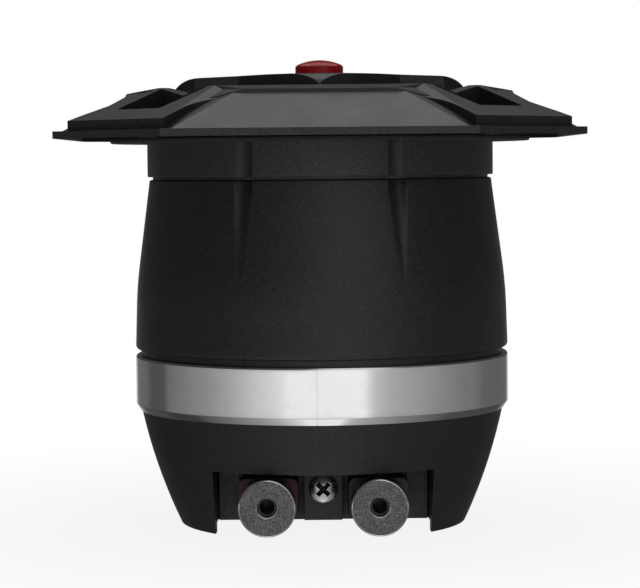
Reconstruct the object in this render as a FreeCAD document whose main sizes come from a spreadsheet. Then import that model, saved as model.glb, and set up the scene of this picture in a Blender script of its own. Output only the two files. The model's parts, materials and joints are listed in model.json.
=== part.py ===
import FreeCAD, Part
import math
import os
import types

import Sketcher

# Horn super tweeter with a square flange, standing on its rear cover.
# Z is the speaker's axis and points out of the horn's mouth; Z = 0 is the rear rim.
# The binding posts face -Y. Millimetres and degrees throughout.

Vector = FreeCAD.Vector
doc = FreeCAD.newDocument("horn_super_tweeter")
sheet = doc.addObject("Spreadsheet::Sheet", "sizes")

DRIVING_SIZES = [
    # Horn flange: an octagon with four long sides
    ("flange_half", 72.5, "axis to a long side of the flange"),
    ("flange_corner", 80.4, "axis to a cut corner of the flange"),
    ("flange_level", 110.4, "underside of the flange"),
    ("flange_edge", 2.0, "thickness at the flange's edge"),
    ("deck_half", 68.7, "axis to the raised deck's wall on a side"),
    ("deck_corner", 77.0, "axis to the raised deck's wall at a corner"),
    ("deck_rise", 2.8, "height of the deck's wall above the edge"),
    ("mouth_half", 44.5, "axis to the mouth ridge on a side"),
    ("mouth_corner", 51.3, "axis to the mouth ridge at a corner"),
    ("mouth_level", 124.3, "top of the mouth ridge"),
    ("mouth_inner", 41.3, "axis to the ridge's inner edge on a side"),
    ("mouth_inner_corner", 48.3, "axis to the ridge's inner edge at a corner"),
    ("brow_half", 54.0, "axis to the edge of the brow above a side panel"),
    ("brow_corner", 52.3, "half width of the brow's octagon at a corner"),
    ("brow_level", 123.0, "edge of the brow"),
    ("brow_foot_half", 54.4, "half width of the brow's foot, on a side"),
    ("brow_foot_corner", 62.6, "half width of the brow's foot, at a corner"),
    ("brow_foot_level", 119.5, "foot of the brow"),
    ("funnel_level", 112.0, "where the octagonal mouth meets the round flare"),
    ("funnel_half", 35.7, "half width of the funnel there, on a side"),
    ("funnel_corner", 35.9, "half width of the funnel there, at a corner"),
    ("panel_top", 54.2, "axis to the top line of a panel"),
    ("panel_level", 122.05, "top line of a panel"),
    ("panel_slope_corner", 54.4, "half width of the panels' octagon there, at a corner"),
    ("panel_foot", 70.2, "axis to the foot of a panel"),
    ("panel_foot_corner", 76.9, "half width of the panels' octagon at its foot, at a corner"),
    ("panel_top_half", 22.5, "half length of a panel's top line"),
    ("panel_round_start", 36.3, "half length where the panel's rounded corner ends"),
    ("panel_round_level", 61.8, "axis to the end of the panel's rounded corner"),
    ("panel_round", 16.0, "radius of a panel's corner"),
    ("panel_foot_half", 43.0, "half length of a panel at the flange's edge"),
    ("pocket_inner", 52.6, "axis to a corner pocket's inner wall"),
    ("pocket_inner_half", 9.4, "half width of a pocket at its inner wall"),
    ("pocket_outer", 68.8, "axis to a corner pocket's outer wall"),
    ("pocket_outer_half", 8.8, "half width of a pocket at its outer wall"),
    ("pocket_floor", 3.2, "thickness of the flange under a pocket"),
    ("dip_depth", 2.4, "depth of the shallow V in the ridge at a corner"),
    ("dip_half", 10.2, "half width of that V"),
    ("mount_spacing", 92.0, "spacing of the mounting holes along X and Y"),
    ("mount_radius", 2.6, "mounting hole"),
    # Neck, flare and throat
    ("neck_level", 99.6, "lower edge of the neck collar"),
    ("neck_radius", 49.8, "neck collar"),
    ("neck_gap", 0.8, "groove between neck and barrel"),
    ("neck_gap_radius", 48.3, "bottom of that groove"),
    ("spigot_radius", 46.5, "the neck's spigot inside the barrel"),
    ("spigot_inner", 44.4, "inside of the neck"),
    ("spigot_depth", 3.2, "length of the spigot"),
    ("core_level", 110.4, "top of the hollow between neck and flare"),
    ("flare_mouth", 41.0, "flare radius at its top"),
    ("flare_top", 122.0, "top of the flare's arc"),
    ("flare_start", 54.0, "bottom of the flare's arc"),
    ("throat_radius", 22.5, "throat"),
    ("throat_level", 52.0, "underside of the horn's foot"),
    ("foot_radius", 37.0, "horn foot"),
    ("foot_height", 5.0, "thickness of the horn foot"),
    ("horn_wall", 3.0, "wall of the flare"),
    ("flute_radius", 3.24, "cutter of the flutes"),
    ("flute_depth", 1.8, "depth of a flute on the neck"),
    ("flute_angle", 25.0, "flute's angle from the middle of the front or the rear"),
    ("flute_end_level", 68.4, "where the barrel's flutes run out"),
    # Gasket under the flange
    ("seat_radius", 60.3, "seat gasket"),
    ("seat_bore", 50.2, "bore of the seat gasket"),
    ("seat_height", 1.2, "thickness of the seat gasket"),
    # Barrel
    ("barrel_level", 50.2, "lower edge of the barrel"),
    ("barrel_radius", 53.8, "barrel at its lower edge"),
    ("barrel_edge", 1.3, "rounding of the lower edge"),
    ("barrel_kink_level", 68.4, "where the barrel starts to taper"),
    ("barrel_kink_radius", 53.2, "barrel radius there"),
    ("barrel_top", 98.8, "top of the barrel"),
    ("barrel_top_radius", 49.3, "barrel radius at its top"),
    ("barrel_top_edge", 1.0, "rounding of the top edge"),
    ("barrel_wall", 2.5, "wall of the barrel"),
    ("barrel_step_radius", 52.2, "bottom of the groove above the trim ring"),
    ("barrel_shelf", 51.2, "step inside the barrel, above its spigot"),
    ("barrel_spigot_level", 44.0, "lower end of the barrel's spigot"),
    # Trim ring
    ("ring_level", 32.8, "lower edge of the trim ring"),
    ("ring_top", 48.6, "top of the trim ring"),
    ("ring_radius", 53.8, "trim ring"),
    ("ring_inner", 51.0, "inside of the trim ring"),
    ("ring_chamfer_out", 1.3, "chamfer at the ring's lower edge, radially"),
    ("ring_chamfer_up", 2.0, "the same chamfer, along the axis"),
    ("ring_edge", 0.5, "rounding of the ring's top edge"),
    # Rear cover
    ("cover_rim_radius", 41.2, "rear cover at its rim"),
    ("cover_top_radius", 52.2, "rear cover where it meets the trim ring"),
    ("cover_curve", 150.0, "radius of the cover's curved side"),
    ("cover_wall", 2.6, "wall of the rear cover"),
    ("cover_spigot_radius", 50.9, "the cover's spigot inside the trim ring"),
    ("cover_spigot_inner", 48.6, "inside of that spigot"),
    ("cover_spigot_top", 38.0, "top of that spigot"),
    ("cover_floor", 2.7, "height of the cover's floor above the rim"),
    ("cover_floor_edge", 40.9, "inside radius of the cover at its floor"),
    ("boss_radius", 5.8, "screw bosses of the rear cover"),
    ("boss_top", 20.6, "top of the bosses"),
    ("head_recess", 4.2, "recess for a cover screw's head"),
    ("head_recess_top", 7.0, "top of that recess"),
    # Terminal recess
    ("recess_half_outer", 30.8, "half width of the recess at the outside"),
    ("recess_half_inner", 29.6, "half width of the recess at its back"),
    ("recess_mouth", 46.0, "distance of the outer width from the axis"),
    ("recess_reach", 60.0, "distance from the axis at which the recess's cutter ends"),
    ("recess_back", 18.5, "back of the recess"),
    ("recess_top", 18.9, "top of the recess"),
    ("recess_wall", 1.6, "walls beside the recess"),
    ("recess_roof", 1.4, "wall above the recess"),
    ("recess_rear_wall", 2.0, "wall behind the recess"),
    ("window_half", 24.0, "half width of the window in the recess's back"),
    ("window_top", 17.0, "top of that window"),
    ("board_face", 21.0, "front face of the terminal board"),
    ("board_half", 29.4, "half width of the terminal board"),
    ("board_bottom", 2.8, "lower edge of the terminal board"),
    ("board_top", 18.7, "upper edge of the terminal board"),
    ("board_pocket", 1.2, "depth of the pockets for the collars"),
    ("pillar_half", 5.3, "half width of the centre pillar"),
    ("pillar_face", 28.5, "front face of the centre pillar"),
    ("pillar_bottom", 3.7, "lower end of the centre pillar"),
    # Binding posts
    ("post_offset", 15.3, "binding posts on both sides of the centre"),
    ("post_level", 10.1, "height of the binding posts"),
    ("stud_radius", 2.6, "stud"),
    ("stud_front", 46.2, "front end of the stud"),
    ("stud_back", 9.5, "inner end of the stud"),
    ("socket_radius", 2.0, "socket in the stud"),
    ("socket_depth", 15.0, "depth of the socket"),
    ("collar_half_x", 8.2, "half width of a collar's block"),
    ("collar_half_z", 5.7, "half height of a collar's block"),
    ("collar_round", 2.0, "corner radius of that block"),
    ("collar_block_face", 31.0, "front face of the block"),
    ("collar_boss", 6.4, "radius of the collar's round boss"),
    ("collar_face", 36.0, "front face of the boss"),
    ("washer_radius", 6.0, "clamp washer"),
    ("washer_height", 1.2, "thickness of the clamp washer"),
    ("running_gap", 0.35, "radial clearance of washer and knob on the stud"),
    ("knob_radius", 7.85, "knob"),
    ("knob_front", 49.5, "front face of the knob"),
    ("knob_edge", 0.5, "chamfer around the knob's face"),
    ("knob_mouth", 2.9, "hole in the knob's face"),
    ("knob_mouth_depth", 2.9, "length of that hole"),
    ("knob_mouth_edge", 0.5, "chamfer of that hole"),
    ("knob_waist", 7.2, "bottom of the groove around the knob's drum"),
    ("knob_waist_edge", 0.3, "slope of that groove's sides"),
    ("knob_waist_front", 47.3, "front of that groove"),
    ("knob_waist_back", 46.3, "back of that groove"),
    ("nut_radius", 4.6, "hexagon nut, to its corners"),
    ("nut_height", 3.5, "thickness of the nut"),
    ("lug_radius", 4.2, "solder lug"),
    ("lug_height", 0.8, "thickness of the solder lug"),
    ("lug_reach", 7.6, "length of the lug's tab"),
    ("lug_tab_half", 2.0, "half width of the lug's tab"),
    ("board_screw_level", 12.6, "height of the terminal board's screw"),
    ("board_screw_head", 4.0, "radius of its pan head"),
    ("board_screw_crown", 4.6, "radius of the sphere that rounds the pan head"),
    ("board_slot_half", 2.2, "half length of the slots in the pan head"),
    ("board_slot_width", 1.0, "width of those slots"),
    ("board_slot_depth", 1.6, "depth of those slots"),
    ("board_screw_rise", 2.6, "height of its pan head"),
    ("board_screw_end", 15.5, "inner end of its shank"),
    ("screw_radius", 2.0, "shanks of the larger screws"),
    # Motor
    ("yoke_level", 21.0, "back of the yoke"),
    ("yoke_radius", 42.0, "yoke plate"),
    ("yoke_top", 26.0, "front of the yoke plate"),
    ("pole_radius", 21.0, "pole piece"),
    ("vent_radius", 5.5, "vent through the pole piece"),
    ("magnet_radius", 43.0, "magnet and top plate"),
    ("magnet_bore", 26.0, "bore of the magnet"),
    ("magnet_top", 42.0, "front of the magnet"),
    ("plate_bore", 22.9, "bore of the top plate"),
    ("plate_top", 48.0, "front of the top plate and of the pole"),
    ("pad_level", 29.0, "lower end of the damping pad in the vent"),
    ("pad_height", 12.0, "length of the damping pad"),
    # Diaphragm assembly
    ("dome_radius", 56.4, "radius of the dome's sphere"),
    ("dome_edge", 21.6, "dome radius at its edge"),
    ("dome_level", 50.5, "height of the dome's edge"),
    ("dome_wall", 0.3, "wall of the dome"),
    ("former_radius", 21.8, "outside of the coil former"),
    ("former_wall", 0.3, "wall of the coil former"),
    ("former_level", 42.4, "lower end of the coil former"),
    ("coil_radius", 22.4, "outside of the voice coil"),
    ("coil_level", 43.0, "lower end of the voice coil"),
    ("coil_height", 4.2, "winding height of the voice coil"),
    ("frame_bore", 26.4, "bore of the diaphragm frame"),
    ("frame_radius", 36.5, "outside of the diaphragm frame and gasket"),
    ("frame_height", 2.2, "thickness of the diaphragm frame"),
    ("surround_inner", 22.2, "inner edge of the surround"),
    ("surround_outer", 31.0, "outer edge of the surround"),
    ("surround_height", 0.3, "thickness of the surround"),
    ("roll_start", 23.0, "inner edge of the surround's roll"),
    ("roll_end", 25.6, "outer edge of the surround's roll"),
    ("roll_radius", 1.4, "radius of the surround's roll"),
    ("gasket_bore", 27.0, "bore of the throat gasket"),
    ("motor_screw_circle", 33.8, "circle of the screws that hold the horn to the motor"),
    ("motor_screw_radius", 1.5, "shank of those screws"),
    ("motor_screw_head", 2.8, "head of those screws"),
    ("motor_screw_head_rise", 3.0, "height of that head"),
    ("motor_screw_end", 43.5, "lower end of those screws"),
    # Phase plug, front cross and badge
    ("plug_gap", 1.2, "space between dome and phase plug"),
    ("plug_radius", 17.5, "phase plug at its foot"),
    ("plug_shoulder", 56.0, "end of the phase plug's straight foot"),
    ("plug_top_radius", 8.0, "phase plug at its top"),
    ("plug_top", 117.0, "top of the phase plug"),
    ("plug_curve", 200.6, "radius of the phase plug's side"),
    ("plug_bore_level", 100.0, "bottom of the screw hole in the phase plug"),
    ("cross_reach", 41.9, "axis to the pointed tip of an arm"),
    ("cross_shoulder", 35.8, "axis to the start of an arm's point"),
    ("cross_arm_half", 9.2, "half width of an arm"),
    ("cross_web", 23.2, "where the slanted web meets an arm"),
    ("cross_web_half", 9.6, "half width of an arm at the web"),
    ("cross_draft", 15.0, "draft of the cross's sides"),
    ("tip_round", 8.0, "rounding of an arm's tip, seen from the side"),
    ("tip_start", 35.5, "axis to the start of that rounding"),
    ("tip_level", 127.7, "level at which that rounding meets the crown"),
    ("skirt_reach", 39.6, "axis to the end of an arm's part inside the mouth"),
    ("skirt_half", 9.0, "half width of that part"),
    ("skirt_level", 121.8, "underside of that part"),
    ("cross_side_rise", 4.7, "height over which the cross is extruded"),
    ("crown_level", 128.8, "top of the cross at its hub"),
    ("crown_radius", 9.0, "radius of the flat crown"),
    ("crown_fall", 24.4, "run of the crown's slope for each millimetre of fall"),
    ("crown_drop", 8.0, "depth of the crown's cone"),
    ("rib_half", 3.0, "half width of the ribs below the cross"),
    ("rib_reach", 37.6, "reach of the ribs"),
    ("rib_level", 118.0, "underside of the ribs"),
    ("plug_screw_head", 4.0, "head of the phase plug's screw"),
    ("plug_screw_head_level", 122.0, "underside of that head"),
    ("plug_screw_head_rise", 3.0, "height of that head"),
    ("plug_screw_end", 101.0, "lower end of that screw"),
    ("screw_well", 4.6, "well for that head in the hub"),
    ("badge_radius", 6.9, "badge"),
    ("badge_seat", 7.1, "seat of the badge in the hub"),
    ("badge_level", 128.2, "bottom of the badge's seat"),
    ("badge_side_top", 131.4, "top of the badge's sloping side"),
    ("badge_shoulder", 6.3, "radius of the badge at that height"),
    ("badge_top", 132.8, "top of the badge"),
    ("badge_foot", 129.2, "top of the badge's straight foot"),
    # Cover screws
    ("cover_screw_head", 3.8, "head of a cover screw"),
    ("cover_screw_head_level", 3.7, "outer face of that head"),
    ("cover_screw_end", 25.4, "inner end of a cover screw"),
    ("cover_slot_half", 2.0, "half length of the slots in a cover screw"),
    ("cover_slot_width", 0.9, "width of those slots"),
    ("cover_slot_depth", 1.5, "depth of those slots"),
    ("lead_radius", 0.8, "lead wires inside the cover"),
]


class Size:
    """A number together with the expression that yields it from the sheet."""

    def __init__(self, text, value):
        self.text = text
        self.value = value

    def join(self, other, sign, value):
        other_text = other.text if isinstance(other, Size) else repr(float(other))
        return Size("(" + self.text + " " + sign + " " + other_text + ")", value)

    def __add__(self, other):
        return self.join(other, "+", self.value + number(other))

    def __sub__(self, other):
        return self.join(other, "-", self.value - number(other))

    def __mul__(self, other):
        return self.join(other, "*", self.value * number(other))

    def __truediv__(self, other):
        return self.join(other, "/", self.value / number(other))

    def __neg__(self):
        return Size("(0 - " + self.text + ")", -self.value)


def number(thing):
    return thing.value if isinstance(thing, Size) else float(thing)


def text(thing):
    return thing.text if isinstance(thing, Size) else repr(float(thing))


def root(size):
    return Size("sqrt(" + size.text + ")", math.sqrt(size.value))


at = types.SimpleNamespace()
for row, (alias, value, meaning) in enumerate(DRIVING_SIZES, start=1):
    sheet.set("A" + str(row), meaning)
    sheet.set("B" + str(row), str(value))
    sheet.setAlias("B" + str(row), alias)
    setattr(at, alias, Size("sizes." + alias, value))
doc.recompute()

nodes = {}


def node(name, shape_object):
    """Take a finished object as the sub-part of that name."""
    shape_object.Label = name
    nodes[name] = shape_object
    return shape_object


# ---- drawing helpers ---------------------------------------------------------------


def bind(target, **sizes):
    """Set properties, each by an expression on the sheet."""
    for name, size in sizes.items():
        target.setExpression(name, text(size))
    return target


def place(target, x=0, y=0, z=0, turn=0, axis=Vector(0, 0, 1)):
    """Move an object to a point given by sizes, turned by an angle about an axis."""
    target.Placement = FreeCAD.Placement(Vector(0, 0, 0), FreeCAD.Rotation(axis, turn))
    for letter, size in (("x", x), ("y", y), ("z", z)):
        if isinstance(size, Size):
            target.setExpression("Placement.Base." + letter, size.text)
    return target


def arc_edge(start, end, radius):
    """The short arc between two points, always counter-clockwise.

    A positive radius bulges to the left of the way, and its arc runs from end to start.
    """
    way = end - start
    half = way.Length / 2
    rise = abs(radius) - math.sqrt(radius * radius - half * half)
    left = Vector(-way.y, way.x, 0).normalize()
    middle = (start + end) * 0.5 + left * math.copysign(rise, radius)
    if radius > 0:
        return Part.Arc(end, middle, start)
    return Part.Arc(start, middle, end)


def draw(sketch, corners):
    """A closed outline. A corner is (x, y), or (x, y, radius) where an arc leaves it."""
    points = [Vector(number(corner[0]), number(corner[1]), 0) for corner in corners]
    starts = []
    for index, corner in enumerate(corners):
        start = points[index]
        end = points[(index + 1) % len(corners)]
        if len(corner) == 2:
            sketch.addGeometry(Part.LineSegment(start, end))
            starts.append(1)
        else:
            sketch.addGeometry(arc_edge(start, end, number(corner[2])))
            starts.append(2 if number(corner[2]) > 0 else 1)
    for index, corner in enumerate(corners):
        following = (index + 1) % len(corners)
        joint = Sketcher.Constraint("Coincident", index, 3 - starts[index], following, starts[following])
        sketch.addConstraint(joint)
    for index, corner in enumerate(corners):
        for kind, size in (("DistanceX", corner[0]), ("DistanceY", corner[1])):
            rule = sketch.addConstraint(
                Sketcher.Constraint(kind, -1, 1, index, starts[index], number(size)))
            if isinstance(size, Size):
                sketch.setExpression("Constraints[" + str(rule) + "]", size.text)
        if len(corner) == 3:
            radius = corner[2] if number(corner[2]) > 0 else -corner[2]
            rule = sketch.addConstraint(Sketcher.Constraint("Radius", index, number(radius)))
            sketch.setExpression("Constraints[" + str(rule) + "]", text(radius))
    return sketch


def turned(name, corners):
    """A body turned about Z from an outline of (radius, height) corners."""
    body = doc.addObject("PartDesign::Body", name)
    sketch = body.newObject("Sketcher::SketchObject", name + "_profile")
    plane = [item for item in body.Origin.OriginFeatures if item.Role == "XZ_Plane"][0]
    sketch.AttachmentSupport = [(plane, "")]
    sketch.MapMode = "FlatFace"
    draw(sketch, corners)
    turn = body.newObject("PartDesign::Revolution", name + "_turn")
    turn.Profile = sketch
    turn.ReferenceAxis = (sketch, ["V_Axis"])
    turn.Angle = 360
    body.Tip = turn
    return body


def plate(name, corners, level, height, draft=0):
    """A plan outline raised from a level by a height."""
    sketch = doc.addObject("Sketcher::SketchObject", name + "_plan")
    draw(sketch, corners)
    raised = doc.addObject("Part::Extrusion", name)
    raised.Base = sketch
    raised.DirMode = "Custom"
    raised.Dir = Vector(0, 0, 1)
    raised.Solid = True
    bind(raised, LengthFwd=height, TaperAngle=draft)
    place(raised, z=level)
    return raised


def box(name, low, high):
    """A box between two corners given by sizes."""
    solid = doc.addObject("Part::Box", name)
    for side, start, end in zip(("Length", "Width", "Height"), low, high):
        solid.setExpression(side, text(end) + " - " + text(start))
    for letter, start in zip("xyz", low):
        solid.setExpression("Placement.Base." + letter, text(start))
    return solid


def cylinder(name, radius, low, high, x=0, y=0):
    """An upright cylinder from a low to a high level."""
    solid = doc.addObject("Part::Cylinder", name)
    bind(solid, Radius=radius, Height=high - low)
    return place(solid, x=x, y=y, z=low)


def along_y(name, radius, front, back, x, z):
    """A cylinder along Y between two distances in front of the axis."""
    solid = doc.addObject("Part::Cylinder", name)
    bind(solid, Radius=radius, Height=front - back)
    return place(solid, x=x, y=-back, z=z, turn=90, axis=Vector(1, 0, 0))


def frustum(name, half_low, half_high, low, high, turn=0):
    """A square frustum about the Z axis."""
    solid = doc.addObject("Part::Wedge", name)
    bind(solid, Xmin=-half_low, Xmax=half_low, Zmin=-half_low, Zmax=half_low)
    bind(solid, X2min=-half_high, X2max=half_high, Z2min=-half_high, Z2max=half_high)
    bind(solid, Ymin=low, Ymax=high)
    upright = FreeCAD.Rotation(Vector(1, 0, 0), 90)
    solid.Placement = FreeCAD.Placement(Vector(0, 0, 0),
                                        FreeCAD.Rotation(Vector(0, 0, 1), turn) * upright)
    return solid


def fused(name, *pieces):
    whole = doc.addObject("Part::MultiFuse", name)
    whole.Shapes = list(pieces)
    return whole


def shared(name, *pieces):
    whole = doc.addObject("Part::MultiCommon", name)
    whole.Shapes = list(pieces)
    return whole


def cut(name, base, *tools):
    whole = doc.addObject("Part::Cut", name)
    whole.Base = base
    whole.Tool = tools[0] if len(tools) == 1 else fused(name + "_tools", *tools)
    return whole


def octagon_frustum(name, halves_low, halves_high, low, high):
    """An octagonal frustum: what a square one and one turned by 45 degrees share."""
    straight = frustum(name + "_sides", halves_low[0], halves_high[0], low, high)
    diagonal = frustum(name + "_corners", halves_low[1], halves_high[1], low, high, 45)
    return shared(name, straight, diagonal)


QUARTERS = (0, 90, 180, 270)
MARGIN = 4.0      # how far a cutting tool reaches beyond the piece that it cuts
OVERLAP = 1.0     # how far fused pieces reach into each other
POSTS = (("positive", -1), ("negative", 1))


# ---- horn --------------------------------------------------------------------------


def make_flare_arc():
    """The flare's arc radius: upright at the throat, through the mouth."""
    wide = at.flare_mouth - at.throat_radius
    tall = at.flare_top - at.flare_start
    return (wide * wide + tall * tall) / (wide * 2)


def flare_radius_at(level, inset):
    """Radius of the flare at a level, with its arc's radius less an inset."""
    arc = make_flare_arc()
    run = level - at.flare_start
    reach = arc - inset
    return at.throat_radius + arc - root(reach * reach - run * run)


def make_flutes(name, lean, foot_radius, low, length):
    """Four round cutters, two in the front and two in the rear, leaning in by an angle."""
    cutters = []
    for quarter in (90, 270):
        for side in (-1, 1):
            cutter = doc.addObject("Part::Cylinder", name + "_" + str(len(cutters)))
            bind(cutter, Radius=at.flute_radius, Height=length)
            angle = math.radians(quarter + side * at.flute_angle.value)
            heading = FreeCAD.Rotation(Vector(0, 0, 1), math.degrees(angle))
            tilt = FreeCAD.Rotation(Vector(0, 1, 0), -lean)
            cutter.Placement = FreeCAD.Placement(Vector(0, 0, 0), heading * tilt)
            turn = str(quarter) + " + " + str(side) + " * sizes.flute_angle"
            foot = foot_radius.text
            cutter.setExpression("Placement.Base.x", foot + " * cos((" + turn + ") * 1 deg)")
            cutter.setExpression("Placement.Base.y", foot + " * sin((" + turn + ") * 1 deg)")
            cutter.setExpression("Placement.Base.z", low.text)
            cutters.append(cutter)
    return cutters


def make_panel_windows(plate_top):
    """Upright cutters that open the four sides of the frame down to the panels."""
    flare = (at.panel_foot_half - at.panel_round_start) / (at.flange_half - at.panel_round_level)
    outer = at.flange_half + MARGIN
    outer_half = at.panel_foot_half + flare * MARGIN
    plan = [
        (at.panel_top, at.panel_top_half, at.panel_round),
        (at.panel_round_level, at.panel_round_start),
        (outer, outer_half),
        (outer, -outer_half),
        (at.panel_round_level, -at.panel_round_start, at.panel_round),
        (at.panel_top, -at.panel_top_half),
    ]
    windows = []
    for quarter in QUARTERS:
        window = plate("panel_window_" + str(quarter), plan, plate_top, at.mouth_level - plate_top)
        window.Placement.Rotation = FreeCAD.Rotation(Vector(0, 0, 1), quarter)
        windows.append(window)
    return windows


def make_pocket_cutters():
    """The corner pockets, the V in the ridge beside each, and the mounting holes."""
    floor = at.flange_level + at.pocket_floor
    plan = [
        (at.pocket_inner, -at.pocket_inner_half),
        (at.pocket_outer, -at.pocket_outer_half),
        (at.pocket_outer, at.pocket_outer_half),
        (at.pocket_inner, at.pocket_inner_half),
    ]
    ridge = [
        (0, at.mouth_level - at.dip_depth),
        (at.dip_half, at.mouth_level),
        (at.dip_half, at.mouth_level + MARGIN),
        (-at.dip_half, at.mouth_level + MARGIN),
        (-at.dip_half, at.mouth_level),
    ]
    cutters = []
    for quarter in QUARTERS:
        turn = FreeCAD.Rotation(Vector(0, 0, 1), quarter + 45)
        pocket = plate("pocket_" + str(quarter), plan, floor, at.mouth_level - floor + MARGIN)
        pocket.Placement.Rotation = turn
        sketch = doc.addObject("Sketcher::SketchObject", "dip_" + str(quarter) + "_profile")
        draw(sketch, ridge)
        dip = doc.addObject("Part::Extrusion", "dip_" + str(quarter))
        dip.Base = sketch
        dip.DirMode = "Custom"
        dip.Dir = Vector(0, 0, 1)
        dip.Solid = True
        bind(dip, LengthFwd=at.pocket_inner)
        upright = FreeCAD.Rotation(Vector(0, 1, 0), Vector(0, 0, 1), Vector(1, 0, 0), "ZXY")
        dip.Placement = FreeCAD.Placement(Vector(0, 0, 0), turn * upright)
        hole = cylinder("mount_hole_" + str(quarter), at.mount_radius,
                        at.flange_level - MARGIN, at.mouth_level)
        side_x = 1 if quarter in (0, 270) else -1
        side_y = 1 if quarter in (0, 90) else -1
        place(hole, x=at.mount_spacing * (0.5 * side_x), y=at.mount_spacing * (0.5 * side_y),
              z=at.flange_level - MARGIN)
        cutters.extend([pocket, dip, hole])
    return cutters


def make_horn_flange():
    """Flange, neck, flare and foot, one casting."""
    plate_top = at.flange_level + at.flange_edge
    deck_top = plate_top + at.deck_rise
    edge_halves = (at.flange_half, at.flange_corner)
    deck_halves = (at.deck_half, at.deck_corner)
    base = octagon_frustum("flange_plate", edge_halves, edge_halves, at.flange_level, plate_top)
    deck = octagon_frustum("flange_deck", deck_halves, deck_halves, plate_top, deck_top)
    mouth_halves = (at.mouth_half, at.mouth_corner)
    slopes = octagon_frustum("flange_slopes", deck_halves, mouth_halves, deck_top, at.mouth_level)
    brow_halves = (at.brow_half, at.brow_corner)
    brow = octagon_frustum("brow", brow_halves, mouth_halves, at.brow_level, at.mouth_level)
    brow_foot = octagon_frustum("brow_foot", (at.brow_foot_half, at.brow_foot_corner), brow_halves,
                                at.brow_foot_level, at.brow_level)
    frame = cut("flange_frame", fused("frame_whole", deck, slopes, brow, brow_foot),
                *make_panel_windows(plate_top))
    panels = octagon_frustum("flange_panels", (at.panel_foot, at.panel_foot_corner),
                             (at.panel_top, at.panel_slope_corner), plate_top, at.panel_level)
    shell_arc = make_flare_arc() - at.horn_wall
    gap_level = at.neck_level - at.neck_gap
    body = turned("horn_body", [
        (0, at.throat_level),
        (at.foot_radius, at.throat_level),
        (at.foot_radius, at.throat_level + at.foot_height),
        (flare_radius_at(at.throat_level + at.foot_height, at.horn_wall),
         at.throat_level + at.foot_height, shell_arc),
        (flare_radius_at(at.core_level, at.horn_wall), at.core_level),
        (at.spigot_inner, at.core_level),
        (at.spigot_inner, gap_level - at.spigot_depth),
        (at.spigot_radius, gap_level - at.spigot_depth),
        (at.spigot_radius, gap_level),
        (at.neck_gap_radius, gap_level),
        (at.neck_gap_radius, at.neck_level),
        (at.neck_radius, at.neck_level),
        (at.neck_radius, plate_top),
        (0, plate_top),
    ])
    throat = turned("horn_throat", [
        (0, at.throat_level - MARGIN),
        (at.throat_radius, at.throat_level - MARGIN),
        (at.throat_radius, at.flare_start, make_flare_arc()),
        (at.flare_mouth, at.flare_top),
        (at.flare_mouth, at.mouth_level + MARGIN),
        (0, at.mouth_level + MARGIN),
    ])
    funnel = octagon_frustum(
        "mouth_funnel", (at.funnel_half, at.funnel_corner),
        (at.mouth_inner, at.mouth_inner_corner),
        at.funnel_level, at.mouth_level)
    flutes = make_flutes("neck_flute", 0, at.neck_radius - at.flute_depth + at.flute_radius,
                         at.neck_level - at.neck_gap * 0.5,
                         at.flange_level - at.seat_height - at.neck_level + at.neck_gap * 0.5)
    bores = [motor_screw_cylinder("horn_bore", quarter, at.motor_screw_radius,
                                  at.throat_level - MARGIN, at.throat_level + at.foot_height + MARGIN)
             for quarter in QUARTERS]
    flange = cut("flange_outside", fused("flange_whole", base, panels, frame), *make_pocket_cutters())
    node("horn_flange", cut("horn", fused("horn_whole", flange, body),
                            throat, funnel, *flutes, *bores))


def motor_screw_cylinder(name, quarter, radius, low, high):
    """A cylinder at one of the four motor screws, which sit on the diagonals."""
    solid = doc.addObject("Part::Cylinder", name + "_" + str(quarter))
    bind(solid, Radius=radius, Height=high - low)
    angle = str(quarter + 45) + " deg"
    solid.setExpression("Placement.Base.x", at.motor_screw_circle.text + " * cos(" + angle + ")")
    solid.setExpression("Placement.Base.y", at.motor_screw_circle.text + " * sin(" + angle + ")")
    solid.setExpression("Placement.Base.z", low.text)
    return solid


def ring(name, inner, outer, low, high):
    return turned(name, [(inner, low), (outer, low), (outer, high), (inner, high)])


def make_seat_gasket():
    low = at.flange_level - at.seat_height
    node("seat_gasket", ring("seat_gasket_body", at.seat_bore, at.seat_radius, low, at.flange_level))


# ---- outer shells ------------------------------------------------------------------


def make_barrel():
    """The tapered cover over the motor, with four flutes that fade out downwards."""
    top_wall = at.barrel_top_radius - at.barrel_wall
    spigot = at.cover_spigot_radius
    shell = turned("barrel_body", [
        (at.cover_spigot_inner, at.barrel_spigot_level),
        (spigot, at.barrel_spigot_level),
        (spigot, at.ring_top),
        (at.barrel_step_radius, at.ring_top),
        (at.barrel_step_radius, at.barrel_level),
        (at.barrel_radius - at.barrel_edge, at.barrel_level, -at.barrel_edge),
        (at.barrel_radius, at.barrel_level + at.barrel_edge),
        (at.barrel_kink_radius, at.barrel_kink_level),
        (at.barrel_top_radius, at.barrel_top - at.barrel_top_edge, -at.barrel_top_edge),
        (at.barrel_top_radius - at.barrel_top_edge, at.barrel_top),
        (top_wall, at.barrel_top),
        (at.barrel_kink_radius - at.barrel_wall, at.barrel_kink_level),
        (at.barrel_kink_radius - at.barrel_wall, at.barrel_shelf),
        (at.cover_spigot_inner, at.barrel_shelf),
    ])
    rise = at.barrel_top.value - at.flute_end_level.value
    floor_top = at.barrel_top_radius.value - at.flute_depth.value
    lean = math.degrees(math.atan((at.barrel_kink_radius.value - floor_top) / rise))
    length = at.barrel_top - at.flute_end_level + MARGIN
    cutters = make_flutes("barrel_flute", lean, at.barrel_kink_radius + at.flute_radius,
                          at.flute_end_level, length)
    node("barrel_shell", cut("barrel", shell, *cutters))


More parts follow.
